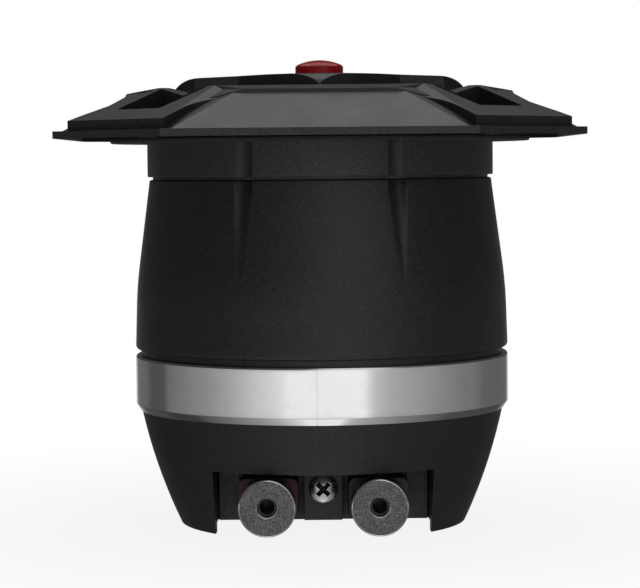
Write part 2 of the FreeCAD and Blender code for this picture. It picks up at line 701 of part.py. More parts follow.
def make_trim_ring():
    node("trim_ring", turned("trim_ring_body", [
        (at.ring_inner, at.ring_level),
        (at.ring_radius - at.ring_chamfer_out, at.ring_level),
        (at.ring_radius, at.ring_level + at.ring_chamfer_up),
        (at.ring_radius, at.ring_top - at.ring_edge, -at.ring_edge),
        (at.ring_radius - at.ring_edge, at.ring_top),
        (at.ring_inner, at.ring_top),
    ]))


COVER_SCREW_PLACES = ((34.0, 4.0), (14.0, 28.0), (-14.0, 28.0), (-34.0, 4.0))


def cover_screw_cylinders(name, radius, low, high):
    solids = []
    for x, y in COVER_SCREW_PLACES:
        solid = cylinder(name + "_" + str(len(solids)), radius, low, high)
        solid.Placement.Base = Vector(x, y, low.value)
        solids.append(solid)
    return solids


def recess_block(name, grow, back, low, high):
    """The recess's plan, wider at its mouth, grown on both sides by a wall."""
    flare = (at.recess_half_outer - at.recess_half_inner) / (at.recess_mouth - at.recess_back)
    reach = at.recess_reach
    outer = at.recess_half_inner + grow + flare * (reach - at.recess_back)
    inner = at.recess_half_inner + grow
    return plate(name, [(-inner, -back), (-outer, -reach), (outer, -reach), (inner, -back)],
                 low, high - low)


def make_rear_cover():
    """The cup over the magnet, with the terminal recess let into its side."""
    floor_top = at.cover_floor + at.cover_wall
    shell = turned("cover_body", [
        (0, at.cover_floor),
        (at.cover_rim_radius - at.cover_wall, at.cover_floor),
        (at.cover_rim_radius - at.cover_wall, 0),
        (at.cover_rim_radius, 0, -at.cover_curve),
        (at.cover_top_radius, at.ring_level),
        (at.cover_spigot_radius, at.ring_level),
        (at.cover_spigot_radius, at.cover_spigot_top),
        (at.cover_spigot_inner, at.cover_spigot_top),
        (at.cover_spigot_inner, at.ring_level, at.cover_curve),
        (at.cover_floor_edge, floor_top),
        (0, floor_top),
    ])
    outside = turned("cover_outside", [
        (0, 0),
        (at.cover_rim_radius, 0, -at.cover_curve),
        (at.cover_top_radius, at.ring_level),
        (0, at.ring_level),
    ])
    walls = shared("recess_walls", outside,
                   recess_block("recess_outside", at.recess_wall, at.recess_back - at.recess_rear_wall,
                                at.cover_floor, at.recess_top + at.recess_roof))
    bosses = cover_screw_cylinders("cover_boss", at.boss_radius, at.cover_floor, at.boss_top)
    bores = cover_screw_cylinders("cover_bore", at.screw_radius, at.cover_floor - MARGIN,
                                  at.boss_top + MARGIN)
    wells = cover_screw_cylinders("cover_well", at.head_recess, at.cover_floor - MARGIN,
                                  at.head_recess_top)
    void = recess_block("recess_void", 0, at.recess_back,
                        -at.cover_floor, at.recess_top)
    window = box("recess_window", (-at.window_half, -(at.recess_back + OVERLAP), floor_top),
                 (at.window_half, -(at.recess_back - MARGIN), at.window_top))
    cover = fused("cover_whole", shell, walls, *bosses)
    node("rear_cover", cut("cover", cover, void, window, *bores, *wells))


# ---- terminals ---------------------------------------------------------------------


def make_terminal_board():
    """The insulating board with a pocket for each collar and a pillar for its screw."""
    board = box("board_plate", (-at.board_half, -at.board_face, at.board_bottom),
                (at.board_half, -at.recess_back, at.board_top))
    pillar = box("board_pillar", (-at.pillar_half, -at.pillar_face, at.pillar_bottom),
                 (at.pillar_half, -at.recess_back, at.board_top))
    tools = [along_y("board_screw_bore", at.screw_radius, at.pillar_face + MARGIN,
                     at.recess_back - MARGIN, 0, at.board_screw_level)]
    for name, side in POSTS:
        x = at.post_offset * side
        tools.append(box("board_pocket_" + name,
                         (x - at.collar_half_x, -(at.board_face + MARGIN),
                          at.post_level - at.collar_half_z),
                         (x + at.collar_half_x, -(at.board_face - at.board_pocket),
                          at.post_level + at.collar_half_z)))
        tools.append(along_y("board_bore_" + name, at.stud_radius, at.board_face,
                             at.recess_back - MARGIN, x, at.post_level))
    node("terminal_board", cut("board", fused("board_whole", board, pillar), *tools))


def make_terminal_screw():
    """A pan head screw with a cross recess."""
    level = at.board_screw_level
    front = at.pillar_face + at.board_screw_rise
    shank = along_y("board_screw_shank", at.screw_radius, at.pillar_face, at.board_screw_end, 0, level)
    head = along_y("board_screw_pan", at.board_screw_head, front, at.pillar_face, 0, level)
    crown = doc.addObject("Part::Sphere", "board_screw_crown")
    bind(crown, Radius=at.board_screw_crown)
    place(crown, y=-(front - at.board_screw_crown), z=level)
    slots = []
    for turn in (45, 135):
        slot = doc.addObject("Part::Box", "board_screw_slot_" + str(turn))
        bind(slot, Length=at.board_slot_half * 2, Width=at.board_slot_width, Height=MARGIN)
        across = FreeCAD.Rotation(Vector(0, 1, 0), turn) * FreeCAD.Rotation(Vector(1, 0, 0), 90)
        slot.Placement = FreeCAD.Placement(Vector(0, 0, 0), across)
        corner = across.multVec(Vector(-at.board_slot_half.value, -at.board_slot_width.value / 2, 0))
        slot.setExpression("Placement.Base.x", repr(corner.x))
        slot.setExpression("Placement.Base.y", (-(front - at.board_slot_depth)).text)
        slot.setExpression("Placement.Base.z", level.text + " + " + repr(corner.z))
        slots.append(slot)
    pan = shared("board_screw_head_round", head, crown)
    node("terminal_screw", cut("board_screw", fused("board_screw_whole", shank, pan), *slots))


def forward(body, x, z):
    """Stand a body that was turned about Z so that its axis points to -Y."""
    body.Placement = FreeCAD.Placement(Vector(0, 0, 0), FreeCAD.Rotation(Vector(1, 0, 0), 90))
    body.setExpression("Placement.Base.x", x.text)
    body.setExpression("Placement.Base.z", z.text)
    return body


def make_post(name, side):
    """Stud, collar, washer, knob and lug of one binding post."""
    x = at.post_offset * side
    level = at.post_level

    stud = turned("stud_" + name, [
        (0, at.stud_back),
        (at.stud_radius, at.stud_back),
        (at.stud_radius, at.stud_front),
        (at.socket_radius, at.stud_front),
        (at.socket_radius, at.stud_front - at.socket_depth),
        (0, at.stud_front - at.socket_depth),
    ])
    node("post_stud_" + name, forward(stud, x, level))

    inner_x = at.collar_half_x - at.collar_round
    inner_z = at.collar_half_z - at.collar_round
    block = plate("collar_block_" + name, [
        (-inner_x, -at.collar_half_z), (inner_x, -at.collar_half_z, -at.collar_round),
        (at.collar_half_x, -inner_z), (at.collar_half_x, inner_z, -at.collar_round),
        (inner_x, at.collar_half_z), (-inner_x, at.collar_half_z, -at.collar_round),
        (-at.collar_half_x, inner_z), (-at.collar_half_x, -inner_z, -at.collar_round),
    ], at.board_face - at.board_pocket, at.collar_block_face - at.board_face + at.board_pocket)
    boss = cylinder("collar_boss_" + name, at.collar_boss, at.collar_block_face - OVERLAP,
                    at.collar_face)
    bore = cylinder("collar_bore_" + name, at.stud_radius, at.recess_back, at.collar_face + MARGIN)
    collar = cut("collar_" + name, fused("collar_whole_" + name, block, boss), bore)
    node("post_collar_" + name, forward(collar, x, level))

    running = at.stud_radius + at.running_gap
    washer_front = at.collar_face + at.washer_height
    washer = ring("washer_" + name, running, at.washer_radius, at.collar_face, washer_front)
    node("clamp_washer_" + name, forward(washer, x, level))
    make_knob(name, x, level, running, washer_front)

    lug_back = at.recess_back - at.lug_height
    plate_ring = cylinder("lug_ring_" + name, at.lug_radius, lug_back, at.recess_back)
    tab_ends = (0, at.lug_reach) if side > 0 else (-at.lug_reach, 0)
    tab = box("lug_tab_" + name, (tab_ends[0], -at.lug_tab_half, lug_back),
              (tab_ends[1], at.lug_tab_half, at.recess_back))
    hole = cylinder("lug_bore_" + name, at.stud_radius, lug_back - MARGIN, at.recess_back + MARGIN)
    lug = cut("lug_" + name, fused("lug_whole_" + name, plate_ring, tab), hole)
    node("solder_lug_" + name, forward(lug, x, level))


def make_knob(name, x, level, running, back):
    """The chromed thumb nut: a drum with the socket's mouth in its face."""
    front = at.knob_front
    mouth_start = front - at.knob_mouth_depth
    body = turned("knob_body_" + name, [
        (running, back),
        (at.knob_radius - at.knob_edge, back),
        (at.knob_radius, back + at.knob_edge),
        (at.knob_radius, at.knob_waist_back),
        (at.knob_waist, at.knob_waist_back + at.knob_waist_edge),
        (at.knob_waist, at.knob_waist_front - at.knob_waist_edge),
        (at.knob_radius, at.knob_waist_front),
        (at.knob_radius, front - at.knob_edge),
        (at.knob_radius - at.knob_edge, front),
        (at.knob_mouth + at.knob_mouth_edge, front),
        (at.knob_mouth, front - at.knob_mouth_edge),
        (at.knob_mouth, mouth_start),
        (running, mouth_start),
    ])
    node("knob_" + name, forward(body, x, level))


def make_post_nuts():
    """The two hexagon nuts that clamp the studs behind the board."""
    solids = []
    for name, side in POSTS:
        nut = doc.addObject("Part::Prism", "post_nut_" + name)
        nut.Polygon = 6
        bind(nut, Circumradius=at.nut_radius, Height=at.nut_height)
        front = at.recess_back - at.lug_height
        place(nut, x=at.post_offset * side, y=-(front - at.nut_height), z=at.post_level,
              turn=90, axis=Vector(1, 0, 0))
        bore = along_y("post_nut_bore_" + name, at.stud_radius, front + MARGIN,
                       front - at.nut_height - MARGIN, at.post_offset * side, at.post_level)
        solids.append(cut("post_nut_cut_" + name, nut, bore))
    node("post_nuts", fused("post_nuts_pair", *solids))


def rounded_path(points, bends):
    """Straight runs joined by tangent arcs, one radius for each inner point."""
    edges = []
    start = points[0]
    for index in range(1, len(points) - 1):
        corner = points[index]
        arriving = (corner - points[index - 1]).normalize()
        leaving = (points[index + 1] - corner).normalize()
        turn = arriving.getAngle(leaving)
        back = bends[index - 1] * math.tan(turn / 2)
        first = corner - arriving * back
        last = corner + leaving * back
        inward = (leaving - arriving).normalize()
        depth = bends[index - 1] * (1 / math.cos(turn / 2) - 1)
        edges.append(Part.LineSegment(start, first).toShape())
        edges.append(Part.Arc(first, corner + inward * depth, last).toShape())
        start = last
    edges.append(Part.LineSegment(start, points[-1]).toShape())
    return Part.Wire(edges)


def make_lead_wires():
    """From each solder lug, round the magnet and in to the diaphragm frame."""
    wire_radius = at.lead_radius.value
    level = at.post_level.value
    lug_x = at.post_offset.value + at.lug_reach.value - at.lug_tab_half.value
    frame_level = at.plate_top.value + at.frame_height.value / 2 + 0.2
    side_x, side_y = 42.6, -12.6
    shrink = (at.frame_radius.value - 0.05) / math.hypot(side_x, side_y)
    for name, side in POSTS:
        points = [
            Vector(side * lug_x, -(at.recess_back.value - at.lug_height.value), level),
            Vector(side * lug_x, -10.6, level),
            Vector(side * 33.0, -10.0, level + 3.0),
            Vector(side * side_x, side_y, 18.6),
            Vector(side * side_x, side_y, 32.0),
            Vector(side * (side_x + 0.4), side_y, frame_level),
            Vector(side * side_x * shrink, side_y * shrink, frame_level),
        ]
        path = rounded_path(points, (2.6, 4.5, 5.0, 40.0, 3.0))
        section = Part.Wire(Part.Circle(points[0], Vector(0, 1, 0), wire_radius).toShape())
        tube = path.makePipeShell([section], True, False)
        lead = doc.addObject("Part::Feature", "lead_" + name)
        lead.Shape = tube
        wanted = math.pi * wire_radius ** 2 * path.Length
        if abs(tube.Volume / wanted - 1) > 0.02:
            raise ValueError("lead wire " + name + " has the wrong volume")
        node("lead_wire_" + name, lead)


# ---- motor and diaphragm -----------------------------------------------------------


def make_motor():
    yoke = turned("yoke_body", [
        (at.vent_radius, at.yoke_level),
        (at.yoke_radius, at.yoke_level),
        (at.yoke_radius, at.yoke_top),
        (at.pole_radius, at.yoke_top),
        (at.pole_radius, at.plate_top),
        (at.vent_radius, at.plate_top),
    ])
    node("yoke", cut("yoke_cut", yoke, *cover_screw_cylinders(
        "yoke_bore", at.screw_radius, at.yoke_level - MARGIN, at.cover_screw_end)))
    node("magnet", ring("magnet_body", at.magnet_bore, at.magnet_radius, at.yoke_top, at.magnet_top))
    top = ring("top_plate_body", at.plate_bore, at.magnet_radius, at.magnet_top, at.plate_top)
    bores = [motor_screw_cylinder("top_plate_bore", quarter, at.motor_screw_radius,
                                  at.motor_screw_end, at.plate_top + MARGIN)
             for quarter in QUARTERS]
    node("top_plate", cut("top_plate_cut", top, *bores))
    node("damping_pad", cylinder("damping_pad_body", at.vent_radius, at.pad_level,
                                 at.pad_level + at.pad_height))


def make_diaphragm():
    """The moving dome with its coil, and the ring, surround and gasket that hold it."""
    crown = at.dome_radius - root(at.dome_radius * at.dome_radius - at.dome_edge * at.dome_edge)
    sphere_low = at.dome_level + crown - at.dome_radius
    inner_sphere = at.dome_radius - at.dome_wall
    inner_edge = at.former_radius - at.former_wall
    inner_low = sphere_low + root(inner_sphere * inner_sphere - inner_edge * inner_edge)
    node("diaphragm", turned("dome_body", [
        (0, sphere_low + inner_sphere, inner_sphere),
        (inner_edge, inner_low),
        (at.former_radius, inner_low),
        (at.former_radius, at.dome_level),
        (at.dome_edge, at.dome_level, -at.dome_radius),
        (0, sphere_low + at.dome_radius),
    ]))
    node("coil_former", ring("coil_former_body", inner_edge, at.former_radius,
                             at.former_level, inner_low))
    node("voice_coil", ring("voice_coil_body", at.former_radius, at.coil_radius,
                            at.coil_level, at.coil_level + at.coil_height))

    frame_top = at.plate_top + at.frame_height
    surround_top = frame_top + at.surround_height
    frame = ring("frame_body", at.frame_bore, at.frame_radius, at.plate_top, frame_top)
    frame_bores = [motor_screw_cylinder("frame_bore", quarter, at.motor_screw_radius,
                                        at.plate_top - MARGIN, frame_top + MARGIN)
                   for quarter in QUARTERS]
    node("diaphragm_frame", cut("frame_cut", frame, *frame_bores))
    node("surround", turned("surround_body", [
        (at.surround_inner, frame_top),
        (at.roll_start, frame_top, at.roll_radius),
        (at.roll_end, frame_top),
        (at.surround_outer, frame_top),
        (at.surround_outer, surround_top),
        (at.roll_end + at.surround_height, surround_top, -(at.roll_radius + at.surround_height)),
        (at.roll_start - at.surround_height, surround_top),
        (at.surround_inner, surround_top),
    ]))
    gasket = ring("gasket_body", at.gasket_bore, at.frame_radius, surround_top, at.throat_level)
    gasket_bores = [motor_screw_cylinder("gasket_bore", quarter, at.motor_screw_radius,
                                         frame_top, at.throat_level + MARGIN)
                    for quarter in QUARTERS]
    node("throat_gasket", cut("gasket_cut", gasket, *gasket_bores))

    plug_sphere = at.dome_radius + at.plug_gap
    plug_low = sphere_low + root(plug_sphere * plug_sphere - at.plug_radius * at.plug_radius)
    node("phase_plug", turned("phase_plug_body", [
        (0, sphere_low + plug_sphere, plug_sphere),
        (at.plug_radius, plug_low),
        (at.plug_radius, at.plug_shoulder, -at.plug_curve),
        (at.plug_top_radius, at.plug_top),
        (at.screw_radius, at.plug_top),
        (at.screw_radius, at.plug_bore_level),
        (0, at.plug_bore_level),
    ]))


def make_motor_screws():
    """Four screws through the horn's foot, gasket and frame into the top plate."""
    head_low = at.throat_level + at.foot_height
    solids = []
    for quarter in QUARTERS:
        solids.append(motor_screw_cylinder("motor_shank", quarter, at.motor_screw_radius,
                                           at.motor_screw_end, head_low))
        solids.append(motor_screw_cylinder("motor_head", quarter, at.motor_screw_head,
                                           head_low, head_low + at.motor_screw_head_rise))
    node("motor_screws", fused("motor_screws_set", *solids))


def make_cover_screws():
    heads = cover_screw_cylinders("cover_head", at.cover_screw_head, at.cover_screw_head_level,
                                  at.head_recess_top)
    shanks = cover_screw_cylinders("cover_shank", at.screw_radius, at.head_recess_top,
                                   at.cover_screw_end)
    sockets = []
    for x, y in COVER_SCREW_PLACES:
        for turn in (0, 90):
            slot = doc.addObject("Part::Box", "cover_slot_" + str(len(sockets)))
            bind(slot, Length=at.cover_slot_half * 2, Width=at.cover_slot_width, Height=at.cover_slot_depth)
            rotation = FreeCAD.Rotation(Vector(0, 0, 1), turn)
            offset = rotation.multVec(Vector(-at.cover_slot_half.value, -at.cover_slot_width.value / 2, 0))
            corner = Vector(x, y, at.cover_screw_head_level.value) + offset
            slot.Placement = FreeCAD.Placement(corner, rotation)
            sockets.append(slot)
    node("cover_screws", cut("cover_screws_set", fused("cover_screws_whole", *heads, *shanks), *sockets))


# ---- front cross and badge ---------------------------------------------------------


def make_front_cross():
    """Four pointed arms over the mouth, joined by slanted webs, domed towards the hub."""
    reach, shoulder, half = at.cross_reach, at.cross_shoulder, at.cross_arm_half
    web, web_half = at.cross_web, at.cross_web_half
    arm = [(reach, 0), (shoulder, half), (web, web_half), (web_half, web), (half, shoulder)]
    outline = list(arm)
    for _ in range(3):
        arm = [(-y, x) for x, y in arm]
        outline.extend(arm)
    top = plate("cross_plate", outline, at.mouth_level, at.cross_side_rise, -at.cross_draft)
    crown = doc.addObject("Part::Cone", "cross_crown")
    bind(crown, Radius1=at.crown_radius + at.crown_drop * at.crown_fall, Radius2=at.crown_radius,
         Height=at.crown_drop)
    place(crown, z=at.crown_level - at.crown_drop)
    tips = turned("cross_tips", [
        (0, at.mouth_level - MARGIN),
        (at.cross_reach, at.mouth_level - MARGIN),
        (at.cross_reach, at.mouth_level, -at.tip_round),
        (at.tip_start, at.tip_level),
        (at.tip_start, at.crown_level + MARGIN),
        (0, at.crown_level + MARGIN),
    ])
    skirts = [box("cross_skirt_along", (-at.skirt_reach, -at.skirt_half, at.skirt_level),
                  (at.skirt_reach, at.skirt_half, at.mouth_level)),
              box("cross_skirt_across", (-at.skirt_half, -at.skirt_reach, at.skirt_level),
                  (at.skirt_half, at.skirt_reach, at.mouth_level))]
    ribs = [box("cross_rib_along", (-at.rib_reach, -at.rib_half, at.rib_level),
                (at.rib_reach, at.rib_half, at.mouth_level + OVERLAP)),
            box("cross_rib_across", (-at.rib_half, -at.rib_reach, at.rib_level),
                (at.rib_half, at.rib_reach, at.mouth_level + OVERLAP))]
    stem = cylinder("cross_stem", at.plug_top_radius, at.plug_top, at.mouth_level + OVERLAP)
    bore = cylinder("cross_bore", at.screw_radius, at.plug_top - MARGIN, at.crown_level)
    well = cylinder("cross_well", at.screw_well, at.plug_screw_head_level, at.crown_level + MARGIN)
    seat = cylinder("cross_seat", at.badge_seat, at.badge_level, at.crown_level + MARGIN)
    whole = fused("cross_whole", shared("cross_top", top, crown, tips), stem, *skirts, *ribs)
    node("front_cross", cut("cross", whole, bore, well, seat))

    node("plug_screw", turned("plug_screw_body", [
        (0, at.plug_screw_end),
        (at.screw_radius, at.plug_screw_end),
        (at.screw_radius, at.plug_screw_head_level),
        (at.plug_screw_head, at.plug_screw_head_level),
        (at.plug_screw_head, at.plug_screw_head_level + at.plug_screw_head_rise),
        (0, at.plug_screw_head_level + at.plug_screw_head_rise),
    ]))
    rise = at.badge_top - at.badge_side_top
    badge_curve = (at.badge_shoulder * at.badge_shoulder + rise * rise) / (rise * 2)
    node("badge", turned("badge_body", [
        (0, at.badge_level),
        (at.badge_radius, at.badge_level),
        (at.badge_radius, at.badge_foot),
        (at.badge_shoulder, at.badge_side_top, -badge_curve),
        (0, at.badge_top),
    ]))


# ---- assembly ----------------------------------------------------------------------

make_horn_flange()
make_seat_gasket()
make_barrel()
make_trim_ring()
make_rear_cover()
make_terminal_board()
make_terminal_screw()
for post_name, post_side in POSTS:
    make_post(post_name, post_side)
make_post_nuts()
make_lead_wires()
make_motor()
make_diaphragm()
make_motor_screws()
make_cover_screws()
make_front_cross()

doc.recompute()

for item in doc.Objects:
    if "Invalid" in item.State or "Error" in item.State:
        raise ValueError(item.Name + " failed: " + str(item.State))
for name, piece in nodes.items():
    if piece.Shape.isNull() or not piece.Shape.isValid() or not piece.Shape.Solids:
        raise ValueError(name + " has no valid shape")

os.makedirs("parts", exist_ok=True)
for name, piece in nodes.items():
    piece.Shape.exportStep("parts/" + name + ".step")
    low_corner = piece.Shape.BoundBox
    print(name, len(piece.Shape.Solids), "solid(s),", round(piece.Shape.Volume / 1000, 2), "cm3,",
          "Z", round(low_corner.ZMin, 2), "to", round(low_corner.ZMax, 2))
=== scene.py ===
import json
import math

import bmesh
import bpy
from mathutils import Matrix, Vector

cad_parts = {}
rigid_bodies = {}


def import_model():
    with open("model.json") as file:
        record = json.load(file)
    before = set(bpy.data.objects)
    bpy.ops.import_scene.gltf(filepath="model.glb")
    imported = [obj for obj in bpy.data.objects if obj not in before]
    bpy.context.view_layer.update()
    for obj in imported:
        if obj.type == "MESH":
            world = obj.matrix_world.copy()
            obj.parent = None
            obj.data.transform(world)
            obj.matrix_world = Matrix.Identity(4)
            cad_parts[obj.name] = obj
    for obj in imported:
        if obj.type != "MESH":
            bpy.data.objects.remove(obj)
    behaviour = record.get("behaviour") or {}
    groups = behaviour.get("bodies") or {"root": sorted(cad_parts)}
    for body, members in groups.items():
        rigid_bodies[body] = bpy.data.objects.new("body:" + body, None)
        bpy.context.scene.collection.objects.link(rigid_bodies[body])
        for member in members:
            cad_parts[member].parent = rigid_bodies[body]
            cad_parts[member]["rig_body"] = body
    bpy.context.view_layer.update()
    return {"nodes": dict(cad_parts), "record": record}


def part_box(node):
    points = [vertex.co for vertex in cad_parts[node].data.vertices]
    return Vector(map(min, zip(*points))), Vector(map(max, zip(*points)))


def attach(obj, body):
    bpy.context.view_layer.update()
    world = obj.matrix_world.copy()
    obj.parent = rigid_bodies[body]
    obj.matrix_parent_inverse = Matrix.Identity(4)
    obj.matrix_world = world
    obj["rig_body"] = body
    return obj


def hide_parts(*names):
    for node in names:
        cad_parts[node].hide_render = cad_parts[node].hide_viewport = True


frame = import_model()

# Horn super tweeter: a visual skin over the CAD frame. Sizes are in millimetres and degrees,
# and become metres in new_mesh(). Levels are heights above the rear rim, along the axis.
MM = 0.001
TINY = 1e-6


# ---- the CAD frame, in millimetres --------------------------------------------------

def extent(node):
    """Lowest and highest corner of a CAD node, in millimetres."""
    low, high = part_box(node)
    return low / MM, high / MM


FLANGE_LOW = extent("horn_flange")[0]
GASKET_LOW, GASKET_HIGH = extent("seat_gasket")
BARREL_LOW, BARREL_HIGH = extent("barrel_shell")
RING_LOW, RING_HIGH = extent("trim_ring")
BADGE_LOW, BADGE_HIGH = extent("badge")
SCREW_LOW, SCREW_HIGH = extent("terminal_screw")

POSTS = ("positive", "negative")
BODY_OF_NODE = {name: item["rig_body"] for name, item in frame["nodes"].items()}


# ---- materials ----------------------------------------------------------------------

NOISE_LOW, NOISE_HIGH = 0.3, 0.7      # the span that a noise field's values mostly fill


class Shader:
    """A principled material with a few noise-driven details."""

    def __init__(self, name, color, roughness, metallic=0.0):
        self.material = bpy.data.materials.new(name)
        self.material.use_nodes = True
        self.material.diffuse_color = (*color, 1.0)
        self.tree = self.material.node_tree
        self.principled = self.tree.nodes["Principled BSDF"]
        self.set("Base Color", (*color, 1.0))
        self.set("Roughness", roughness)
        self.set("Metallic", metallic)
        self.color = color
        self.roughness = roughness
        self.place = self.add("ShaderNodeTexCoord").outputs["Object"]
        self.height = None

    def add(self, kind, **settings):
        node = self.tree.nodes.new(kind)
        for key, value in settings.items():
            setattr(node, key, value)
        return node

    def set(self, socket, value):
        self.principled.inputs[socket].default_value = value

    def link(self, output, target):
        self.tree.links.new(output, target)

    def noise(self, scale, detail=4.0, roughness=0.55):
        """A noise field over the object's own coordinates."""
        texture = self.add("ShaderNodeTexNoise")
        texture.inputs["Scale"].default_value = scale
        texture.inputs["Detail"].default_value = detail
        texture.inputs["Roughness"].default_value = roughness
        self.link(self.place, texture.inputs["Vector"])
        return texture.outputs["Fac"]

    def spread(self, field, low, high):
        """Map a noise field to a range."""
        mapping = self.add("ShaderNodeMapRange")
        self.link(field, mapping.inputs["Value"])
        for socket, value in (("From Min", NOISE_LOW), ("From Max", NOISE_HIGH),
                              ("To Min", low), ("To Max", high)):
            mapping.inputs[socket].default_value = value
        return mapping.outputs["Result"]

    def tint(self, field, dark, light, from_low=NOISE_LOW, from_high=NOISE_HIGH):
        """Vary the base colour between two shades of it."""
        ramp = self.add("ShaderNodeValToRGB")
        ramp.color_ramp.elements[0].position = from_low
        ramp.color_ramp.elements[1].position = from_high
        ramp.color_ramp.elements[0].color = (*[channel * dark for channel in self.color], 1.0)
        ramp.color_ramp.elements[1].color = (*[channel * light for channel in self.color], 1.0)
        self.link(field, ramp.inputs["Fac"])
        self.link(ramp.outputs["Color"], self.principled.inputs["Base Color"])

    def vary_roughness(self, field, change):
        """Vary the roughness by a change to both sides, never down to a perfect mirror."""
        low = max(0.02, self.roughness - change)
        self.link(self.spread(field, low, self.roughness + change), self.principled.inputs["Roughness"])

    def bump(self, field, strength, distance):
        """Add a bump on top of the bumps so far."""
        node = self.add("ShaderNodeBump")
        node.inputs["Strength"].default_value = strength
        node.inputs["Distance"].default_value = distance
        self.link(field, node.inputs["Height"])
        if self.height is not None:
            self.link(self.height, node.inputs["Normal"])
        self.height = node.outputs["Normal"]
        self.link(self.height, self.principled.inputs["Normal"])


def eroded_plastic(name, shade, roughness, grain, depth):
    """Black plastic with a spark-eroded grain of a given pit size and depth in millimetres."""
    shader = Shader(name, (shade, shade, shade * 1.04), roughness)
    pits = shader.noise(1.0 / (grain * MM), 2.0, 0.6)
    shader.tint(pits, 0.35, 2.1, 0.36, 0.64)
    shader.vary_roughness(shader.noise(90.0, 3.0), 0.04)
    shader.bump(pits, 1.0, depth * MM)
    return shader.material


def smooth_plastic(name, color, roughness):
    """Moulded plastic with a fine, even surface."""
    shader = Shader(name, color, roughness)
    shader.tint(shader.noise(140.0, 4.0), 0.88, 1.12)
    shader.vary_roughness(shader.noise(420.0, 3.0), 0.06)
    shader.bump(shader.noise(1500.0, 2.0), 0.12, 0.02 * MM)
    return shader.material


def glossy_plastic(name, color, roughness):
    """Polished plastic with a soft sheen."""
    shader = Shader(name, color, roughness)
    shader.set("Specular IOR Level", 0.25)
    shader.tint(shader.noise(180.0, 3.0), 0.85, 1.15)
    shader.vary_roughness(shader.noise(500.0, 3.0), 0.05)
    return shader.material


def chrome(name, shade, roughness, grain):
    """Plated metal: almost a mirror, with faint handling marks and an uneven polish."""
    shader = Shader(name, (shade, shade, shade * 1.01), roughness, 1.0)
    shader.tint(shader.noise(55.0, 5.0), 0.94, 1.03)
    shader.vary_roughness(shader.noise(300.0, 4.0), roughness * 0.4)
    shader.bump(shader.noise(900.0, 3.0), grain, 0.02 * MM)
    return shader.material


TURNING_PITCH = 0.28      # distance between the rings of a lathe-cut face


def turned_metal(name, shade, roughness, centre):
    """A lathe-cut face: fine rings about an axis along Y, broken up by a coarse speckle that is a bump and
    also painted glints lightening the base colour.
    """
    shader = Shader(name, (shade, shade, shade), roughness, 1.0)
    offset = shader.add("ShaderNodeVectorMath", operation="SUBTRACT")
    shader.link(shader.place, offset.inputs[0])
    offset.inputs[1].default_value = centre
    flat = shader.add("ShaderNodeVectorMath", operation="MULTIPLY")
    shader.link(offset.outputs["Vector"], flat.inputs[0])
    flat.inputs[1].default_value = (1.0, 0.0, 1.0)
    length = shader.add("ShaderNodeVectorMath", operation="LENGTH")
    shader.link(flat.outputs["Vector"], length.inputs[0])
    turns = shader.add("ShaderNodeMath", operation="SINE")
    pitch = shader.add("ShaderNodeMath", operation="MULTIPLY")
    shader.link(length.outputs["Value"], pitch.inputs[0])
    pitch.inputs[1].default_value = 2 * math.pi / (TURNING_PITCH * MM)
    shader.link(pitch.outputs["Value"], turns.inputs[0])
    bumps_and_painted_glints = shader.noise(2300.0, 5.0, 0.75)
    # painted glints: the speckle lightens the base colour in spots, besides its bump
    shader.tint(bumps_and_painted_glints, 0.4, 2.0, 0.38, 0.64)
    shader.vary_roughness(shader.noise(700.0, 4.0), 0.12)
    shader.bump(turns.outputs["Value"], 0.10, 0.01 * MM)
    shader.bump(bumps_and_painted_glints, 0.5, 0.05 * MM)
    return shader.material


def plain_metal(name, color, roughness):
    """Bare or thinly plated metal with faint tarnish."""
    shader = Shader(name, color, roughness, 1.0)
    shader.tint(shader.noise(240.0, 5.0), 0.8, 1.1)
    shader.vary_roughness(shader.noise(600.0, 3.0), 0.08)
    shader.bump(shader.noise(1600.0, 3.0), 0.15, 0.02 * MM)
    return shader.material


def soft_stuff(name, color, grain):
    """Foam, felt or cloth: matt, with an open grain."""
    shader = Shader(name, color, 0.92)
    cells = shader.noise(1.0 / (grain * MM), 3.0, 0.7)
    shader.tint(cells, 0.6, 1.4)
    shader.bump(cells, 0.7, 0.12 * MM)
    return shader.material


def foam(name, color):
    """Closed-cell foam: small round cells."""
    shader = Shader(name, color, 0.85)
    cells = shader.add("ShaderNodeTexVoronoi", feature="SMOOTH_F1")
    cells.inputs["Scale"].default_value = 1800.0
    shader.link(shader.place, cells.inputs["Vector"])
    shader.tint(cells.outputs["Distance"], 0.7, 1.4, 0.1, 0.6)
    shader.bump(cells.outputs["Distance"], 0.6, 0.1 * MM)
    return shader.material


